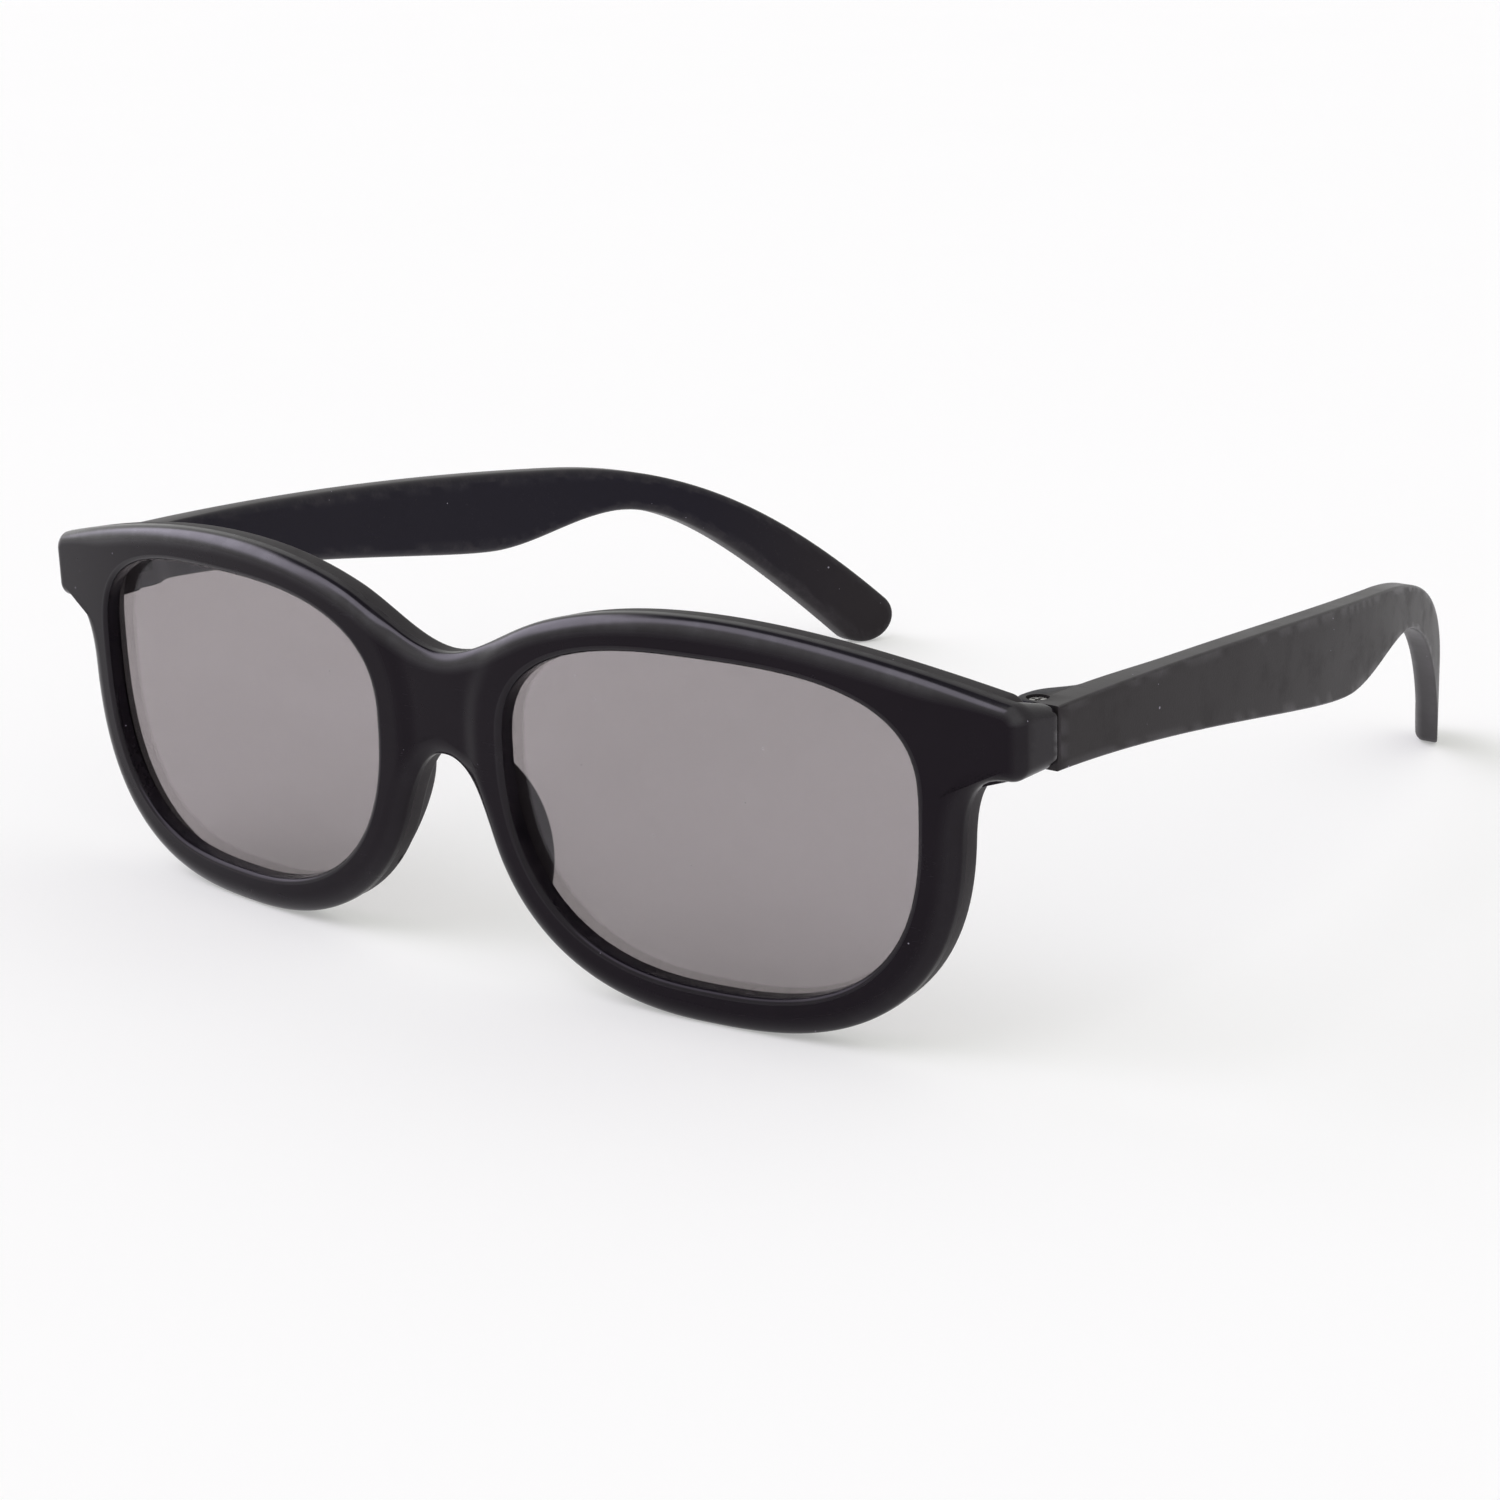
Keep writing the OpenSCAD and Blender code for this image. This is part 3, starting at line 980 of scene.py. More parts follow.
class Outline:
    """Curves of the front in X and Z, with the pulls of their ends.

    The angles say which place on the lens opening belongs to each corner of the outline.
    """

    NASAL = -156.0
    OUTER = -8.0
    UNDER = -170.0
    MIDDLE = -195.0
    CORNERS = (165.0, 135.0, 88.0, 30.0, 24.0, 10.0, 5.0, OUTER, NASAL, UNDER)
    BROW = (5.2, 3.1)
    BRIDGE_PULLS = ((5.0, 0.0), (-5.3, -1.8))
    RISE_PULLS = ((6.2, 2.1), (-8.0, 0.0))
    FALL_PULLS = ((12.0, 0.0), (-13.0, 3.4))
    FOOT_INSET = 2.8
    FOOT_PULL = (-3.2, -0.3)
    UNDER_PULL = (3.6, 0.0)
    RIM_PULL = 5.0
    APART = 0.05

    def __init__(self, sizes: FrontSizes) -> None:
        """Hold the sizes."""
        self.sizes = sizes

    def _open(self, angles: Array) -> Array:
        """Edge of the lens opening.

        Args:
            angles: Angles in degrees about its widest place.

        Returns:
            The points in X and Z.
        """
        s = self.sizes
        c, d = np.cos(np.radians(angles)), np.sin(np.radians(angles))
        upper, outer = d > 0, c > 0
        n = np.select(
            [upper & outer, upper & ~outer, ~upper & outer], s.squareness[:3], s.squareness[3]
        )
        r = (np.abs(c) ** n + np.abs(d) ** n) ** (-1.0 / n)
        tall = s.open_h / 2 - np.sign(d) * s.open_wide
        return np.column_stack([s.open_x + r * c * s.open_w / 2, s.open_z + r * d * tall])

    def run(self, angles: Array) -> Array:
        """Direction of the opening's edge at angles in degrees."""
        step = self._open(angles + 0.5) - self._open(angles - 0.5)
        return step / np.linalg.norm(step, axis=1, keepdims=True)

    def opening(self, angles: Array, grow: float) -> Array:
        """Edge of the lens opening at angles in degrees, moved outward by a distance."""
        run = self.run(angles)
        return self._open(angles) + grow * np.column_stack([run[:, 1], -run[:, 0]])

    def rim(self, angle: float) -> tuple[Array, Array]:
        """Point and direction of the rim's outer edge at one angle."""
        at = np.array([angle])
        return self.opening(at, self.sizes.rim_w)[0], self.run(at)[0]

    def half(self, side: float) -> HalfOutline:
        """Outline of the left half from the top of the bridge round to its underside.

        Args:
            side: X of the endpiece's outer end.

        Returns:
            The outline.
        """
        s = self.sizes
        top = np.array([0.0, s.bridge_z + s.bridge_h])
        brow = np.array([s.open_gap / 2 + self.BROW[0], s.front_h - self.BROW[1]])
        crest = np.array([s.open_x, s.front_h - s.crest_slack])
        end = np.array([s.half_w, s.end_top])
        bridge = span(top, brow, self.BRIDGE_PULLS, 20)
        rise = span(brow, crest, self.RISE_PULLS, 26)
        fall = span(crest, end, self.FALL_PULLS, 400)
        turn_x = side - s.end_r
        turn = np.linspace(0.0, math.pi / 2, 15)
        x = turn_x + s.end_r * np.sin(turn)
        lost = s.end_r * (1 - np.cos(turn))
        upper = np.column_stack([x, np.interp(x, fall[:, 0], fall[:, 1]) - lost])
        lower = np.column_stack([x, s.end_z + lost])[::-1]
        fall = resample(np.vstack([fall[fall[:, 0] < turn_x - self.APART], upper[:1]]), 40)
        flank = resample(np.vstack([upper[-1], lower[0]]), 8)
        outer, outer_run = self.rim(self.OUTER)
        nasal, nasal_run = self.rim(self.NASAL)
        foot = np.array([s.half_w - self.FOOT_INSET, s.end_z])
        fillet = span(outer, foot, (self.RIM_PULL * outer_run, self.FOOT_PULL), 60)[::-1]
        fillet = fillet[fillet[:, 0] < turn_x - self.APART]
        fillet = resample(np.vstack([lower[-1], fillet]), 14)
        rim = self.opening(np.linspace(self.OUTER, self.NASAL, 81), s.rim_w)
        under = np.array([0.0, s.bridge_z])
        arch = span(under, nasal, (self.UNDER_PULL, -self.RIM_PULL * nasal_run), 16)[::-1]
        parts = [bridge, rise, fall, upper, flank, lower, fillet, rim, arch]
        ends = zip(self.CORNERS, self.CORNERS[1:], parts)
        angles = joined(*(np.linspace(a, b, len(part))[:, None] for a, b, part in ends))[:, 0]
        middle = np.linspace(self.UNDER, self.MIDDLE, 22)[1:-1]
        corner = slice(len(joined(*parts[:3])) - 1, len(joined(*parts[:6])))
        return HalfOutline(joined(*parts), angles, middle, corner)


class FrontBlank:
    """Rows of points for one half of a shell of the front."""

    FACE = (0.0, 0.04, 0.14, 0.32, 0.5, 0.68, 0.86, 0.96, 1.0)
    FINE = (0.0, 0.02, *(0.06 + 0.88 * k / 19 for k in range(20)), 0.98, 1.0)

    def __init__(self, sizes: FrontSizes, side: float) -> None:
        """Work out the outline.

        Args:
            sizes: Sizes of the front.
            side: X of the endpiece's outer end.
        """
        self.sizes = sizes
        self.outline = Outline(sizes)
        self.half = self.outline.half(side)
        self.angles = np.r_[self.half.angles, self.half.middle_angles]

    def chain(self, inset: Any) -> Array:
        """Outer edge of the half, moved inward.

        Args:
            inset: Distance inward, one for all points or one for each.

        Returns:
            The moved edge, which still starts and ends on the middle plane.
        """
        line = self.half.chain
        flip = np.array([-1.0, 1.0])
        edge = moved_in(line, line[1] * flip, line[-2] * flip, inset)
        edge[[0, -1], 0] = 0.0
        return edge

    def skyward(self) -> Array:
        """Upward share of the outer edge's outward direction at each of its points."""
        run = np.gradient(self.half.chain, axis=0)
        return run[:, 0] / np.linalg.norm(run, axis=1)

    def loop(self, edge: Array) -> Array:
        """Close the outer edge along the middle of the bridge.

        Args:
            edge: The outer edge of the half.

        Returns:
            The closed line.
        """
        count = len(self.half.middle_angles)
        z = np.linspace(edge[-1, 1], edge[0, 1], count + 2)[1:-1]
        return np.vstack([edge, np.column_stack([np.zeros(count), z])])

    def opening(self, grow: float) -> Array:
        """Edge of the lens opening, point by point with the loop."""
        return self.outline.opening(self.angles, grow)

    @staticmethod
    def flat(points: Array, depth: Any) -> Array:
        """Points of the blank at a depth behind the front face."""
        return np.column_stack([points[:, 0], np.broadcast_to(depth, len(points)), points[:, 1]])

    def between(
        self, inner: Array, outer: Array, depth: float, steps: Sequence[float] = FACE
    ) -> list[Array]:
        """Rows across a face from its opening to its outer edge."""
        return [self.flat((1 - t) * inner + t * outer, depth) for t in steps]


@dataclass
class FrontShell:
    """Gloss outer shell with rounded edges and the flanges that hide the hinges."""

    # Levels of the edge mark, which sets the coat and lightens edges as wear and painted highlight
    LIP_GLOSS = (0.1, 0.25)
    EDGE_GLOSS = (0.0, 0.15, 0.4, 0.7, 1.0, 1.0, 1.0, 0.9, 0.6, 0.35, 0.2, 0.15)
    FLANGE_GLOSS = (0.1, 0.6, 0.0)

    sizes: FrontSizes
    crown: float = 0.9
    crown_run: float = 12.0
    flange_soft: float = 0.2
    flange_fall: float = 1.1
    scoop: float = 0.5
    scoop_rise: Point = (-1.2, 1.8)
    scoop_reach: Point = (7.0, 12.0)
    side_gloss: float = 0.2

    def build(self, bow: Former, material: Material) -> Obj:
        """Build and dress the shell.

        Args:
            bow: Tree that bows the blank.
            material: The shell's finish.

        Returns:
            The finished shell.
        """
        s = self.sizes
        blank = FrontBlank(s, s.half_w)
        back = s.face_d - s.seam_gap
        skin = Skin()
        lip = [
            blank.flat(blank.opening(s.lip_r * (1 - c)), s.lip_r * (1 - d)) for d, c in quarter(7)
        ]
        wall = [blank.flat(blank.opening(0.0), depth) for depth in (back, 0.6 * back)]
        crown = self._crown(blank)
        outer = blank.loop(blank.chain(crown))
        face = blank.between(blank.opening(s.lip_r), outer, 0.0, blank.FINE)[1:]
        rows = wall + [self._scooped(blank, row) for row in lip + face]
        first, rest = self.LIP_GLOSS
        gloss = [0.0] * len(wall) + [first] + [rest] * (len(lip) - 1) + [0.0] * len(face)
        skin.rows(rows, True, edge=gloss)
        edge = [
            self._scooped(blank, blank.flat(blank.chain(crown * (1 - d)), s.edge_r * (1 - c)))
            for d, c in quarter(10)
        ]
        edge.append(blank.flat(blank.chain(0.0), back))
        # Painted highlight: upward-facing edges get more of the edge mark than the sides and
        # underside
        glow = self.side_gloss + (1 - self.side_gloss) * eased(blank.skyward(), 0.0, 0.5)
        skin.rows(edge, False, edge=[level * glow for level in self.EDGE_GLOSS])
        inner = self._flange(blank, skin, back)
        rear = blank.between(blank.opening(0.0), blank.loop(inner), back)
        skin.rows(rear, True)
        skin.mirror()
        shell = skin.build("front_shell_moulding")
        bow.apply(shell, {"Bow radius": s.bow_r * MM, "Material": material})
        return shell

    def _crown(self, blank: FrontBlank) -> Array:
        """Reach of the rounded edge across the face.

        Args:
            blank: The shell's blank.

        Returns:
            The reach at each point, shorter at the endpiece's tight corners.
        """
        corner, count = blank.half.corner, np.arange(len(blank.half.chain))
        away = np.maximum(0, np.maximum(corner.start - count, count - corner.stop))
        return self.sizes.edge_r + self.crown * eased(away, 0.0, self.crown_run)

    def _scooped(self, blank: FrontBlank, row: Array) -> Array:
        """Row of the face with the bridge sunk a little between the two rims.

        Args:
            blank: The shell's blank.
            row: The row at its flat depth.

        Returns:
            The row at its new depth.
        """
        s = self.sizes
        ring = blank.outline.opening(np.arange(0.0, 360.0, 2.0) + 0.5, 0.0)
        away = np.abs(row[:, 0])
        gap = np.hypot(away[:, None] - ring[:, 0], row[:, 2, None] - ring[:, 1]).min(axis=1)
        low, high = (s.rim_w + rise for rise in self.scoop_rise)
        sunk = self.scoop * eased(gap, low, high) * (1 - eased(away, *self.scoop_reach))
        depth = row[:, 1] + sunk * np.clip(1 - row[:, 1] / s.edge_r, 0.0, 1.0)
        return np.column_stack([row[:, 0], depth, row[:, 2]])

    def _flange(self, blank: FrontBlank, skin: Skin, back: float) -> Array:
        """Add the side flange behind an endpiece.

        Args:
            blank: The shell's blank.
            skin: The surface that takes the flange.
            back: Depth of the shell's back face.

        Returns:
            The outer edge of the back face, which steps in behind the flange.
        """
        s = self.sizes
        corner = blank.half.corner
        x, z = blank.half.chain[corner].T
        inner = np.minimum(x, s.half_w - s.flange_t)
        soft = np.minimum(self.flange_soft, 0.5 * (x - inner))
        top, low = z.max(), z.min()
        over = np.maximum(0.0, np.maximum(z - (top - s.flange_r), (low + s.flange_r) - z))
        end = s.joint_y - s.flange_r + np.sqrt(np.maximum(0.0, s.flange_r**2 - over**2))
        root, deep = s.bow_y(x, back), s.bow_y(inner, back)
        fall = self.flange_fall * eased(z, 0.5 * (top + low), top)
        steps = np.linspace(0.0, 1.0, 7)
        parts = (
            [(x, root + t * (end - soft - root), z - t * fall) for t in steps],
            [(x - soft * (1 - c), end - soft * (1 - d), z - fall) for d, c in quarter(4)],
            [(inner, deep + t * (end - deep), z - t * fall) for t in reversed(steps)],
        )
        rows = [np.column_stack([a, s.depth_at(a, y), b]) for part in parts for a, y, b in part]
        gloss = [level for level, part in zip(self.FLANGE_GLOSS, parts) for _ in part]
        skin.rows(rows, False, edge=gloss)
        edge = blank.half.chain.copy()
        edge[corner, 0] = inner
        return edge


@dataclass
class RearShell:
    """Matt inner shell with the lens pockets, the nose fins and the hinge tongues."""

    sizes: FrontSizes
    fin_l: float = 16.0
    fin_reach: float = 2.7
    fin_t: float = 2.0
    fin_splay: float = 10.0
    fin_root: float = 1.0
    fin_angles: Point = (-171.0, -144.0)
    fin_out: Point = (0.84, 0.64)
    open_flare: float = 1.4
    block_w: float = 6.5
    block_dip: float = 0.15
    block_soft: float = 0.15
    neck_w: float = 3.0
    neck_arc: Point = (220.0, -40.0)
    bore_span: Point = (-1.0, 5.0)

    def build(self, bow: Former, hinge: "HingeSizes", material: Material) -> Obj:
        """Build and dress the shell.

        Args:
            bow: Tree that bows the blank.
            hinge: Sizes of the hinges.
            material: The shell's finish.

        Returns:
            The finished shell.
        """
        s = self.sizes
        blank = FrontBlank(s, s.rear_side)
        skin = Skin()
        pocket = s.lens_land + s.lens_clear
        outer = blank.loop(blank.chain(s.seam_step))
        rows = blank.between(blank.opening(pocket), outer, s.face_d)[::-1]
        rows += [blank.flat(blank.opening(pocket), s.pocket_d)]
        rows += [blank.flat(blank.opening(s.rear_open_step), s.pocket_d)]
        backs = blank.loop(blank.chain(s.seam_step + s.back_edge_r))
        rows += blank.between(blank.opening(s.rear_open_step + self.open_flare), backs, s.front_d)
        skin.rows(rows, True)
        soft, side = s.back_edge_r, blank.chain(s.seam_step)
        start = s.front_d - soft
        wall = [blank.flat(side, d) for d in (s.face_d, 0.5 * (s.face_d + start), start)]
        edge = [
            blank.flat(blank.chain(s.seam_step + soft * (1 - c)), start + soft * d)
            for d, c in quarter(6)
        ]
        skin.rows(wall + edge, False, edge=[0.0, 0.2, 0.4] + [1.0] * len(edge))
        skin.mirror()
        shell = skin.build("rear_shell_moulding")
        bow.apply(shell, {"Bow radius": s.bow_r * MM, "Material": material})
        additions = []
        for sign in (1.0, -1.0):
            additions += [self._fin(blank.outline, sign)]
            additions += self._tongue(hinge, sign)
        cut_or_join(shell, additions, "UNION")
        discs = [disc_outline((sign * hinge.x, hinge.y), hinge.bore_r) for sign in (1.0, -1.0)]
        low, high = (hinge.tongue_z + end for end in self.bore_span)
        cut_or_join(shell, [prism("bore", disc, low, high) for disc in discs], "DIFFERENCE")
        dress(shell, material)
        return shell

    def _fin(self, outline: Outline, sign: float) -> Obj:
        """One nose fin: a segment of a round-edged disc that leans off the nose.

        Args:
            outline: Curves of the front.
            sign: 1 on the left side and -1 on the right.

        Returns:
            The fin in place.
        """
        s = self.sizes
        ends = outline.opening(np.array(self.fin_angles), np.array(self.fin_out)[:, None] * s.rim_w)
        mid, along = ends.mean(axis=0), ends[1] - ends[0]
        radius = ((self.fin_l / 2) ** 2 + self.fin_reach**2) / (2 * self.fin_reach)
        half = self.fin_t / 2
        flat = radius - half
        rings, bend = (0.0, 0.3, 0.6, 0.9), np.linspace(math.pi / 2, -math.pi / 2, 13)
        profile = [(flat * t, half) for t in rings]
        profile += [(flat + half * math.cos(a), half * math.sin(a)) for a in bend]
        profile += [(flat * t, -half) for t in reversed(rings)]
        fin = lathe("fin", (0.0, self.fin_reach - radius), profile, 96)
        mesh = bmesh.new()
        mesh.from_mesh(fin.data)
        cut = bmesh.ops.bisect_plane(
            mesh,
            geom=[*mesh.verts, *mesh.edges, *mesh.faces],
            plane_co=(0.0, -self.fin_root * MM, 0.0),
            plane_no=(0.0, 1.0, 0.0),
            clear_inner=True,
        )
        rim = [g for g in cut["geom_cut"] if isinstance(g, bmesh.types.BMEdge)]
        bmesh.ops.edgeloop_fill(mesh, edges=rim)
        place = Matrix.Translation((mid[0] * MM, s.bow_y(mid[0], s.front_d) * MM, mid[1] * MM))
        place = place @ Matrix.Rotation(-math.atan2(along[1], along[0]), 4, "Y")
        place = place @ Matrix.Rotation(math.radians(self.fin_splay), 4, "X")
        mesh.transform(Matrix.Diagonal((sign, 1.0, 1.0, 1.0)) @ place)
        mesh.to_mesh(fin.data)
        mesh.free()
        close_up(fin)
        return fin

    def _tongue(self, hinge: "HingeSizes", sign: float) -> list[Obj]:
        """Block behind an endpiece and the hinge tongue that it carries.

        Args:
            hinge: Sizes of the hinges.
            sign: 1 on the left side and -1 on the right.

        Returns:
            The block and the tongue in place.
        """
        s = self.sizes
        side = s.rear_side
        front = s.bow_y(side, s.face_d + s.back_edge_r / 2)
        back = hinge.y - hinge.knuckle_r - s.joint_gap
        inner = side - self.block_w
        block = np.array([(inner, front), (inner, back), (side, back), (side, front)])
        half = self.neck_w / 2
        radius = hinge.knuckle_r - s.joint_gap / 2
        arc = disc_outline((hinge.x, hinge.y), radius, *self.neck_arc, 40)
        root = back - s.joint_gap
        neck = np.vstack([[(hinge.x - half, root)], arc, [(hinge.x + half, root)]])
        low, high = s.end_z + s.seam_step, hinge.temple_top - self.block_dip
        made = []
        for name, plan, z0, z1 in (
            ("block", block, low, high),
            ("tongue", neck, hinge.tongue_z, hinge.tongue_z + hinge.tongue_h),
        ):
            plan = plan if sign > 0 else (plan * np.array([-1.0, 1.0]))[::-1]
            made.append(prism(name, plan, z0, z1, self.block_soft))
        return made


@dataclass
class HingeSizes:
    """Place and sizes of the left hinge, with Y from the foremost line of the front."""

    front: FrontSizes
    back: float = 1.9
    inset: float = 3.9
    knuckle_r: float = 2.2
    tongue_h: float = 2.8
    tongue_clear: float = 0.12
    screw_d: float = 1.4
    head_d: float = 2.3
    head_h: float = 0.6
    sink: float = 0.35
    clear: float = 0.04
    head_clear: float = 0.1
    temple_h: float = 7.0
    temple_drop: float = 1.1

    def __post_init__(self) -> None:
        """Work out the sizes that follow from the others."""
        self.x = self.front.half_w - self.inset
        self.y = self.front.temple_y + self.back
        self.temple_top = self.front.end_top - self.temple_drop
        self.temple_z = self.temple_top - self.temple_h
        self.tongue_z = self.temple_z + (self.temple_h - self.tongue_h) / 2
        self.head_z = self.temple_top - self.sink - self.head_h
        self.bore_r = self.screw_d / 2 + self.clear


@dataclass
class Lens:
    """Three bonded sheets behind one opening."""

    sizes: FrontSizes
    layers: dict[Layer, Point] = field(
        default_factory=lambda: {
            Layer.RETARDER: (0.005, 0.195),
            Layer.POLARISER: (0.205, 0.395),
            Layer.BACKING: (0.405, 0.795),
        }
    )
    soft: float = 0.06

    def build(self, side: Side, layer: Layer, bow: Former, material: Material) -> Obj:
        """Build and dress one sheet.

        Args:
            side: The wearer's side.
            layer: The sheet.
            bow: Tree that bows the blank.
            material: The sheet's finish.

        Returns:
            The finished sheet.
        """
        s = self.sizes
        angles = np.linspace(0.0, -360.0, 160, endpoint=False) + 0.5
        edge = Outline(s).opening(angles, s.lens_land)
        tucked = Outline(s).opening(angles, s.lens_land - self.soft)
        middle = np.array([s.open_x, s.open_z - s.open_wide])
        front, back = (s.face_d + d for d in self.layers[layer])
        steps = (0.0, 0.08, 0.2, 0.35, 0.5, 0.65, 0.8, 0.92, 1.0)
        rows = [FrontBlank.flat(middle + t * (tucked - middle), front) for t in steps]
        rows += [FrontBlank.flat(edge, d) for d in (front + self.soft, back - self.soft)]
        rows += [FrontBlank.flat(middle + t * (tucked - middle), back) for t in reversed(steps)]
        flip = np.array([1.0 if side is Side.LEFT else -1.0, 1.0, 1.0])
        skin = Skin()
        skin.rows([row * flip for row in rows], True)
        sheet = skin.build(f"{side.value}_lens_{layer.name.lower()}")
        bow.apply(sheet, {"Bow radius": s.bow_r * MM, "Material": material})
        return sheet


@dataclass
class Temple:
    """Folding temple with a lobe, a slim neck, a sloping ear tip and the hinge knuckles."""

    front: FrontSizes
    hinge: HingeSizes
    length: float = 134.6
    thick: float = 3.4
    lobe: Point = (69.8, 9.6)
    arch: Point = (89.2, 7.5)
    neck_h: float = 6.2
    tip_w: float = 8.0
    tip_drop: float = 3.0
    tip_slope: float = 47.0
    tip_pull: float = 23.5
    toe_in: float = 25.0
    inner_r: float = 1.2
    root_r: float = 0.35
    root_run: Point = (8.0, 26.0)
    outer_r: float = 0.35
    # Share by which the painted inner shade fades towards the ear tip, and how far past the arch it
    # starts
    tip_shade_fade: float = 0.95
    shade_fade_from: float = 10.0
    under_pulls: tuple[Point, Point] = ((30.0, -1.5), (-9.4, 0.0))
    lobe_pulls: tuple[Point, Point] = ((7.0, 0.0), (-7.0, 0.0))
    arch_pull: Point = (10.5, 0.0)
    neck_at: Point = (-9.0, 1.7)
    over_pulls: tuple[Point, Point] = ((28.0, -0.6), (-24.0, 3.2))
    neck_pull: Point = (22.0, -2.9)
    wear_highlight: Point = (1.0, 0.5)
    slack: float = 0.005
    rungs: int = 8
    boss_l: float = 11.0
    boss_bite: float = 1.0
    knuckle_dip: float = 0.05
    knuckle_soft: float = 0.3
    slot_reach: float = 1.5
    past: float = 1.0

    def standing(self) -> Matrix:
        """Place of the upright drawing as the glasses lean on their rims and ear tips.

        Returns:
            The move and the lean in metres.
        """
        s = self.front
        foot = float(s.bow_y(s.open_x, s.edge_r))
        tip_r = self.tip_w / 2
        tip_y = s.temple_y + self.length - tip_r
        lean = math.atan2(self.tip_drop, tip_y - foot)
        foremost = -(s.bridge_z + s.bridge_h - s.edge_r) * math.sin(lean)
        rearmost = tip_y * math.cos(lean) - (tip_r - self.tip_drop) * math.sin(lean) + tip_r
        back, lift = (foremost + rearmost) / 2 + self.slack, self.slack - foot * math.sin(lean)
        shift = Vector((0.0, -back, lift)) * MM
        return Matrix.Translation(shift) @ Matrix.Rotation(lean, 4, "X")

    def _outline(self) -> tuple[Array, Array]:
        """Curves of the temple, with its length along the first axis.

        Returns:
            Underside and top at the same places along it.
        """
        z, top = self.hinge.temple_z, self.hinge.temple_top
        slope = math.radians(self.tip_slope)
        fall = np.array([math.cos(slope), -math.sin(slope)])
        centre = np.array([self.length - self.tip_w / 2, self.tip_w / 2 - self.tip_drop])

        def tip(a: Array) -> Array:
            """Points of the round tip at angles in degrees."""
            turn = np.radians(a)
            return centre + self.tip_w / 2 * np.column_stack([np.cos(turn), np.sin(turn)])

        lobe = np.array([self.lobe[0], z - self.lobe[1]])
        arch = np.array([self.arch[0], z - self.arch[1]])
        root = np.array([0.0, z])
        low_end = tip(np.array([270.0 - self.tip_slope]))[0]
        under = joined(
            span(root, lobe, self.under_pulls, 44),
            span(lobe, arch, self.lobe_pulls, 18),
            span(arch, low_end, (self.arch_pull, -self.tip_pull * fall), 36),
            tip(np.linspace(270.0 - self.tip_slope, 356.0, 26)),
        )
        root = np.array([0.0, top])
        neck = arch + (self.neck_at[0], self.neck_h + self.neck_at[1])
        high_end = tip(np.array([90.0 - self.tip_slope]))[0]
        over = joined(
            span(root, neck, self.over_pulls, 200),
            span(neck, high_end, (self.neck_pull, -self.tip_pull * fall), 200),
            tip(np.linspace(90.0 - self.tip_slope, 0.0, 60)),
        )
        above = np.column_stack([under[:, 0], np.interp(under[:, 0], over[:, 0], over[:, 1])])
        return under, above

    def _shade(self, along: Array) -> Array:
        """Level of the painted shade on inner faces along the temple, lower on the ear tip."""
        return 1.0 - self.tip_shade_fade * eased(along, self.arch[0] + self.shade_fade_from, self.length)

    def _blank(self) -> Skin:
        """Straight temple with its depth along X and its length along Y.

        Returns:
            The surface of the blank.
        """
        under, above = self._outline()
        n = len(under)
        ladder = np.linspace(0.0, 1.0, self.rungs + 1)[1:-1, None]
        end = above[-1] + ladder * (under[-1] - above[-1])
        root = under[0] + ladder * (above[0] - under[0])
        ring = np.vstack([above, end, under[::-1], root])

        def row(inset: Any, depth: Any) -> Array:
            """The ring moved inward at a depth behind the outer face."""
            moved = moved_in(ring, ring[-1], ring[0], inset)
            return np.column_stack([np.broadcast_to(depth, len(moved)), moved])

        def cap(edge: Array) -> list[Array]:
            """Rows of the face inside an edge ring.

            Args:
                edge: The ring.

            Returns:
                The rows from the top to the underside.
            """
            upper, lower = edge[:n], edge[n + len(end) : 2 * n + len(end)][::-1]
            first, last = edge[2 * n + len(end) :][::-1], edge[n : n + len(end)]
            rows = [upper]
            for k in range(self.rungs - 1):
                t = (k + 1) / self.rungs
                line = upper + t * (lower - upper)
                line[0], line[-1] = first[k], last[k]
                rows.append(line)
            return rows + [lower]

        outer = [row(self.outer_r * (1 - d), self.outer_r * (1 - c)) for d, c in quarter(4)]
        soft = self.root_r + (self.inner_r - self.root_r) * eased(ring[:, 0], *self.root_run)
        inner = [row(soft * (1 - c), self.thick - soft * (1 - d)) for d, c in quarter(8)]
        skin = Skin()
        # Painted shade: the inner edge rows and the inner face get the inside mark, fading towards
        # the ear tip
        painted_inner_shade = [0.0] * len(outer) + [d for d, _ in quarter(8)]
        painted_inner_shade = [level * self._shade(line[:, 1]) for level, line in zip(painted_inner_shade, outer + inner)]
        # Edge-mark levels for wear and a painted highlight, higher on the outer edges than the
        # inner
        wear_highlight = [self.wear_highlight[0]] * len(outer) + [self.wear_highlight[1]] * len(inner)
        skin.rows(outer + inner, True, edge=wear_highlight, inside=painted_inner_shade)
        skin.rows(cap(outer[0]), False)
        face = cap(inner[-1])
        skin.rows(face, False, inside=[self._shade(line[:, 1]) for line in face])
        return skin

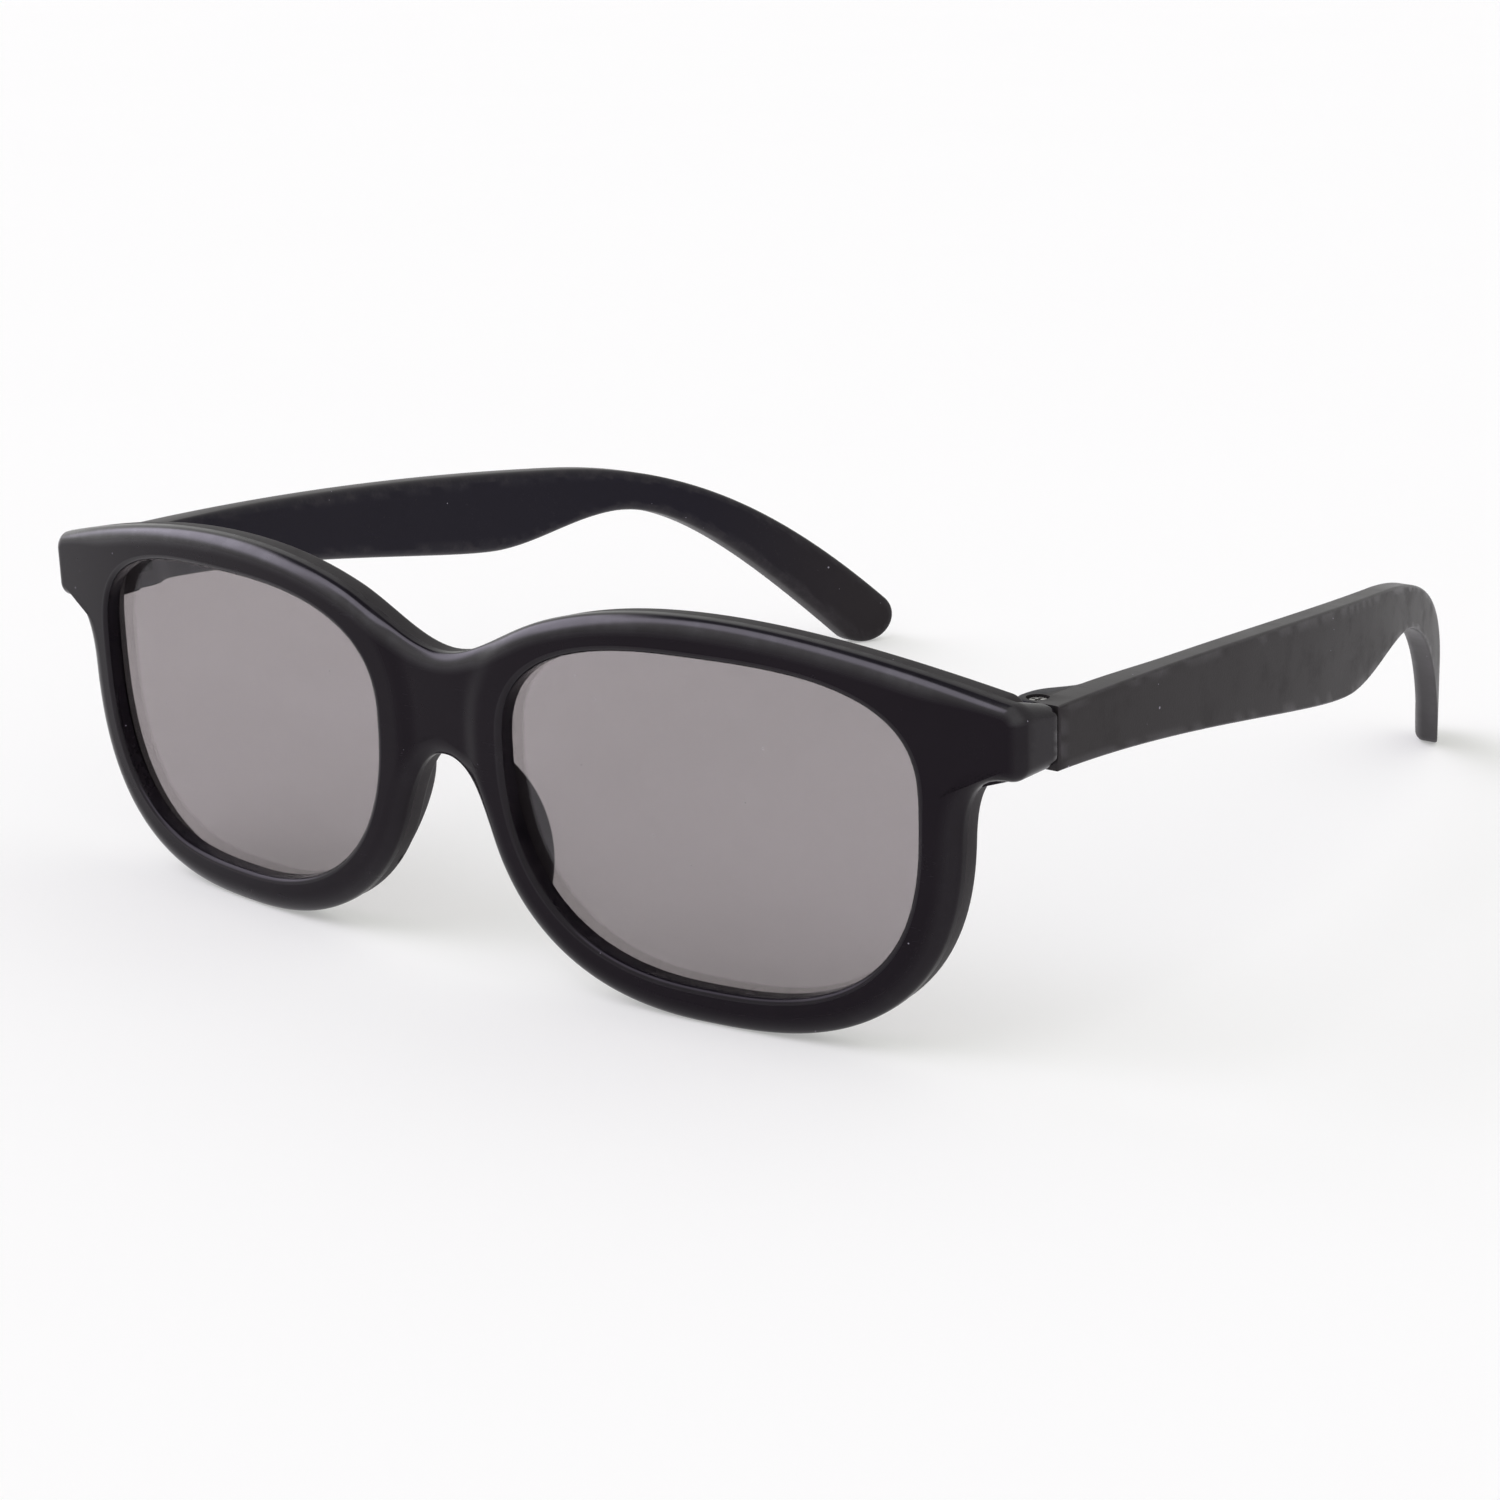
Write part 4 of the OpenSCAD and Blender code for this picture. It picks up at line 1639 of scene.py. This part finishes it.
    def _knuckle(self) -> Obj:
        """Barrel of the hinge and its blend into the temple's inner face.

        Returns:
            The barrel in place, with its ends on the temple's own slopes.
        """
        h, inner = self.hinge, self.front.half_w - self.thick
        start = np.array([h.x - h.knuckle_r, h.y])
        end = np.array([inner + self.boss_bite, h.y + self.boss_l])
        blend = cubic(
            [start, start + (0.0, self.boss_l / 2), (inner, h.y + self.boss_l / 3), end], 24
        )
        arc = disc_outline((h.x, h.y), h.knuckle_r, 360.0, 180.0, 30)
        plan = np.vstack([arc, blend[1:]])
        low, high = h.temple_z + self.knuckle_dip, h.temple_top - self.knuckle_dip
        knuckle = prism("knuckle", plan, low, high, self.knuckle_soft)
        under, above = self._outline()
        for vertex in knuckle.data.vertices:
            along = vertex.co.y / MM - self.front.temple_y
            share = (vertex.co.z / MM - low) / (high - low)
            top = np.interp(along, above[:, 0], above[:, 1]) - h.temple_top
            foot = np.interp(along, under[:, 0], under[:, 1]) - h.temple_z
            vertex.co.z += (share * top + (1 - share) * foot) * MM
        # Painted shade over the whole knuckle barrel
        marks = knuckle.data.attributes["inside"].data
        marks.foreach_set("value", np.ones(len(marks)))
        return knuckle

    def _cutters(self) -> list[Obj]:
        """Room for the tongue, the screw's shank and its head.

        Returns:
            The solids to cut away.
        """
        h, gap = self.hinge, self.front.joint_gap
        axis = (h.x, h.y)
        low = h.tongue_z - h.tongue_clear
        high = h.tongue_z + h.tongue_h + h.tongue_clear
        reach, side, back = self.slot_reach + gap, h.knuckle_r + self.past, h.back + self.past

        def block(x0: float, x1: float, y0: float, y1: float) -> Array:
            """Clockwise rectangle about the hinge's axis."""
            return np.array([(x0, y0), (x0, y1), (x1, y1), (x1, y0)]) + np.array(axis)

        plans = (
            disc_outline(axis, h.knuckle_r + gap / 2),
            block(-side, reach, -back, 0.0),
            block(-side, 0.0, -back, reach),
        )
        bore, seat = (disc_outline(axis, r) for r in (h.bore_r, h.head_d / 2 + h.head_clear))
        cutters = [prism("slot", plan, low, high) for plan in plans]
        cutters.append(prism("bore", bore, h.temple_z - self.past, h.temple_top + self.past))
        cutters.append(prism("seat", seat, h.head_z, h.temple_top + self.past))
        return cutters

    def build(self, toe_in: Former, material: Material) -> dict[Side, Obj]:
        """Build and dress both temples.

        Args:
            toe_in: Tree that curves the blank inward.
            material: The temples' finish.

        Returns:
            The two finished temples.
        """
        left = self._blank().build("left_temple_moulding")
        toe_in.apply(
            left,
            {
                "Half width": self.front.half_w * MM,
                "Toe in": self.toe_in * MM,
                "Length": self.length * MM,
                "Joint line": self.front.temple_y * MM,
                "Material": material,
            },
        )
        cut_or_join(left, [self._knuckle()], "UNION")
        cut_or_join(left, self._cutters(), "DIFFERENCE")
        dress(left, material)
        return {Side.LEFT: left, Side.RIGHT: mirrored(left, "right_temple_moulding")}


def mirrored(obj: Obj, name: str) -> Obj:
    """Copy of an object across the middle plane, with its faces turned outwards.

    Args:
        obj: The object on the left side.
        name: Name of the copy.

    Returns:
        The copy.
    """
    copy = bpy.data.objects.new(name, obj.data.copy())
    bpy.context.collection.objects.link(copy)
    mesh = bmesh.new()
    mesh.from_mesh(copy.data)
    mesh.transform(Matrix.Diagonal((-1.0, 1.0, 1.0, 1.0)))
    bmesh.ops.reverse_faces(mesh, faces=mesh.faces)
    mesh.to_mesh(copy.data)
    mesh.free()
    return copy


@dataclass
class HingeScrew:
    """Cross-recess screw with a thread on its shank."""

    hinge: HingeSizes
    core_r: float = 0.6
    ridge: float = 0.09
    pitch: float = 0.35
    head_soft: float = 0.15
    tip_soft: float = 0.15
    core_ends: Point = (0.3, 0.4)
    collar: float = 0.3
    thread_ends: Point = (0.25, 0.5)
    cross: Triple = (1.5, 0.35, 0.35)
    cross_past: float = 1.0

    def build(self, thread: Former, material: Material) -> dict[Side, Obj]:
        """Build and dress both screws.

        Args:
            thread: Tree that winds the thread.
            material: The screws' finish.

        Returns:
            The two finished screws.
        """
        h, soft, core = self.hinge, self.head_soft, self.core_r
        foot = h.temple_z + h.sink
        r, shank, top = h.head_d / 2, h.screw_d / 2, h.head_z + h.head_h
        low, high = foot + self.core_ends[0], h.head_z - self.core_ends[1]
        profile = [(0.0, foot), (core - self.tip_soft, foot), (core, foot + self.tip_soft)]
        profile += [(core, z) for z in np.linspace(low, high, 5)]
        profile += [(shank, h.head_z - self.collar), (shank, h.head_z), (r, h.head_z)]
        profile += [(r - soft * (1 - c), top - soft * (1 - d)) for d, c in quarter(5)]
        profile += [(0.6 * r, top), (0.0, top)]
        screw = lathe("left_hinge_screw_turned", (h.x, h.y), profile, 40)
        long, wide, deep = self.cross
        slots = []
        for a, b in ((long / 2, wide / 2), (wide / 2, long / 2)):
            plan = np.array([(-a, -b), (-a, b), (a, b), (a, -b)]) + np.array([h.x, h.y])
            slots.append(prism("slot", plan, top - deep, top + self.cross_past))
        cut_or_join(screw, slots, "DIFFERENCE")
        start = foot + self.thread_ends[0]
        height = h.head_z - self.thread_ends[1] - start
        thread.apply(
            screw,
            {
                "Turns": height / self.pitch,
                "Radius": core * MM,
                "Height": height * MM,
                "Ridge": self.ridge * MM,
                "X": h.x * MM,
                "Y": h.y * MM,
                "Z": start * MM,
                "Material": material,
            },
        )
        dress(screw, material)
        return {Side.LEFT: screw, Side.RIGHT: mirrored(screw, "right_hinge_screw_turned")}


@dataclass(frozen=True)
class Panel:
    """Soft panel on the sky, bright or dark, sized by the tangents of its half angles."""

    aim: Triple
    half: Point
    soft: float
    color: Rgb
    cutoff: Point = (0.05, 0.15)

    def share(self, graph: Graph, way: Socket) -> Value:
        """Share of the panel in the light from a direction.

        Args:
            graph: The sky's graph.
            way: The direction.

        Returns:
            1 inside the panel and 0 outside.
        """
        ahead = Vector(self.aim).normalized()
        across = ahead.cross(Vector((0.0, 0.0, 1.0))).normalized()

        def along(axis: Vector) -> Value:
            """Part of the direction along an axis."""
            dot = graph.node("ShaderNodeVectorMath", {0: way, 1: axis}, operation="DOT_PRODUCT")
            return Value(graph, dot.outputs["Value"])

        depth = along(ahead)
        share = depth.rise(*self.cutoff)
        for axis, half in zip((across, across.cross(ahead)), self.half):
            offset = (along(axis) / depth.at_least(self.cutoff[0])).size()
            share = share * (1.0 - offset.rise(half - self.soft, half + self.soft))
        return share


@dataclass
class Studio:
    """Floor, soft light and the camera."""

    floor_half: float = 4.0
    camera_at: Triple = (0.25155, -0.25812, 0.13703)
    camera_right: Triple = (0.78674, 0.61654, -0.03118)
    camera_up: Triple = (-0.16077, 0.25339, 0.95390)
    camera_back: Triple = (0.59608, -0.74539, 0.29842)
    lens: float = 80.06
    sky: Rgb = (0.83, 0.835, 0.81)
    panels: tuple[Panel, ...] = (
        Panel((-0.35, 0.0, 0.94), (0.45, 0.40), 0.12, (0.15, 0.15, 0.17)),
        Panel((-0.800, -0.290, 0.525), (0.46, 0.30), 0.16, (2.6, 2.5, 2.85)),
        Panel((-0.249, -0.531, 0.810), (0.40, 0.27), 0.10, (2.3, 2.22, 2.52)),
    )

    def build(self, place: Matrix) -> None:
        """Make the floor, the sky and the camera.

        Args:
            place: Where the upright drawing stands on the floor.
        """
        self._floor()
        self._sky()
        self._camera(place)
        bpy.context.scene.view_settings.view_transform = "Standard"

    def _floor(self) -> None:
        """Wide pale floor under the object."""
        a = self.floor_half
        mesh = bpy.data.meshes.new("floor")
        mesh.from_pydata([(-a, -a, 0), (a, -a, 0), (a, a, 0), (-a, a, 0)], [], [(0, 1, 2, 3)])
        floor = bpy.data.objects.new("floor", mesh)
        bpy.context.collection.objects.link(floor)
        dress(floor, FLOOR.material())

    def _sky(self) -> None:
        """Even pale light from all round, with a dark panel and two bright ones above."""
        world = bpy.data.worlds.new("studio")
        world.use_nodes = True
        bpy.context.scene.world = world
        graph = Graph(world.node_tree)
        way = graph.node("ShaderNodeTexCoord").outputs["Generated"]

        def even(color: Rgb) -> Socket:
            """Light of one colour from all round."""
            inputs = {"Color": (*color, 1.0), "Strength": 1.0}
            return graph.node("ShaderNodeBackground", inputs).outputs[0]

        light = even(self.sky)
        for panel in self.panels:
            inputs = {0: panel.share(graph, way), 1: light, 2: even(panel.color)}
            light = graph.node("ShaderNodeMixShader", inputs).outputs[0]
        graph.node("ShaderNodeOutputWorld", {"Surface": light})

    def _camera(self, place: Matrix) -> None:
        """Camera at the photograph's viewing angle, held to the upright drawing.

        Args:
            place: Where the upright drawing stands on the floor.
        """
        data = bpy.data.cameras.new("camera")
        data.lens = self.lens
        data.sensor_width = 36.0
        data.clip_start = 0.01
        camera = bpy.data.objects.new("camera", data)
        bpy.context.collection.objects.link(camera)
        axes = Matrix((self.camera_right, self.camera_up, self.camera_back)).transposed()
        camera.matrix_world = place @ Matrix.Translation(self.camera_at) @ axes.to_4x4()
        bpy.context.scene.camera = camera


def main() -> None:
    """Build every piece in order."""
    logging.basicConfig(level=logging.INFO, format="%(name)s: %(message)s")
    sizes = FrontSizes()
    hinge = HingeSizes(sizes)
    arm = Temple(sizes, hinge)
    place = arm.standing()
    bow, toe_in, thread = bow_former(), toe_in_former(), thread_former()
    finishes = (GLOSS_SHELL, MATT_SHELL, TEMPLE_PLASTIC, STEEL)
    gloss, matt, satin, steel = (finish.material() for finish in finishes)
    attach(FrontShell(sizes).build(bow, gloss), place, "front", "front_shell")
    attach(RearShell(sizes).build(bow, hinge, matt), place, "front", "rear_shell")
    films = {layer: finish.material() for layer, finish in FILMS.items()}
    for side in Side:
        for layer in Layer:
            sheet = Lens(sizes).build(side, layer, bow, films[layer])
            attach(sheet, place, "front", f"{side.value}_{layer.value}")
    for side, temple in arm.build(toe_in, satin).items():
        attach(temple, place, f"{side.value}_arm", f"{side.value}_temple")
    for side, screw in HingeScrew(hinge).build(thread, steel).items():
        attach(screw, place, f"{side.value}_arm", f"{side.value}_hinge_screw")
    Studio().build(place)


if __name__ == "__main__":
    main()
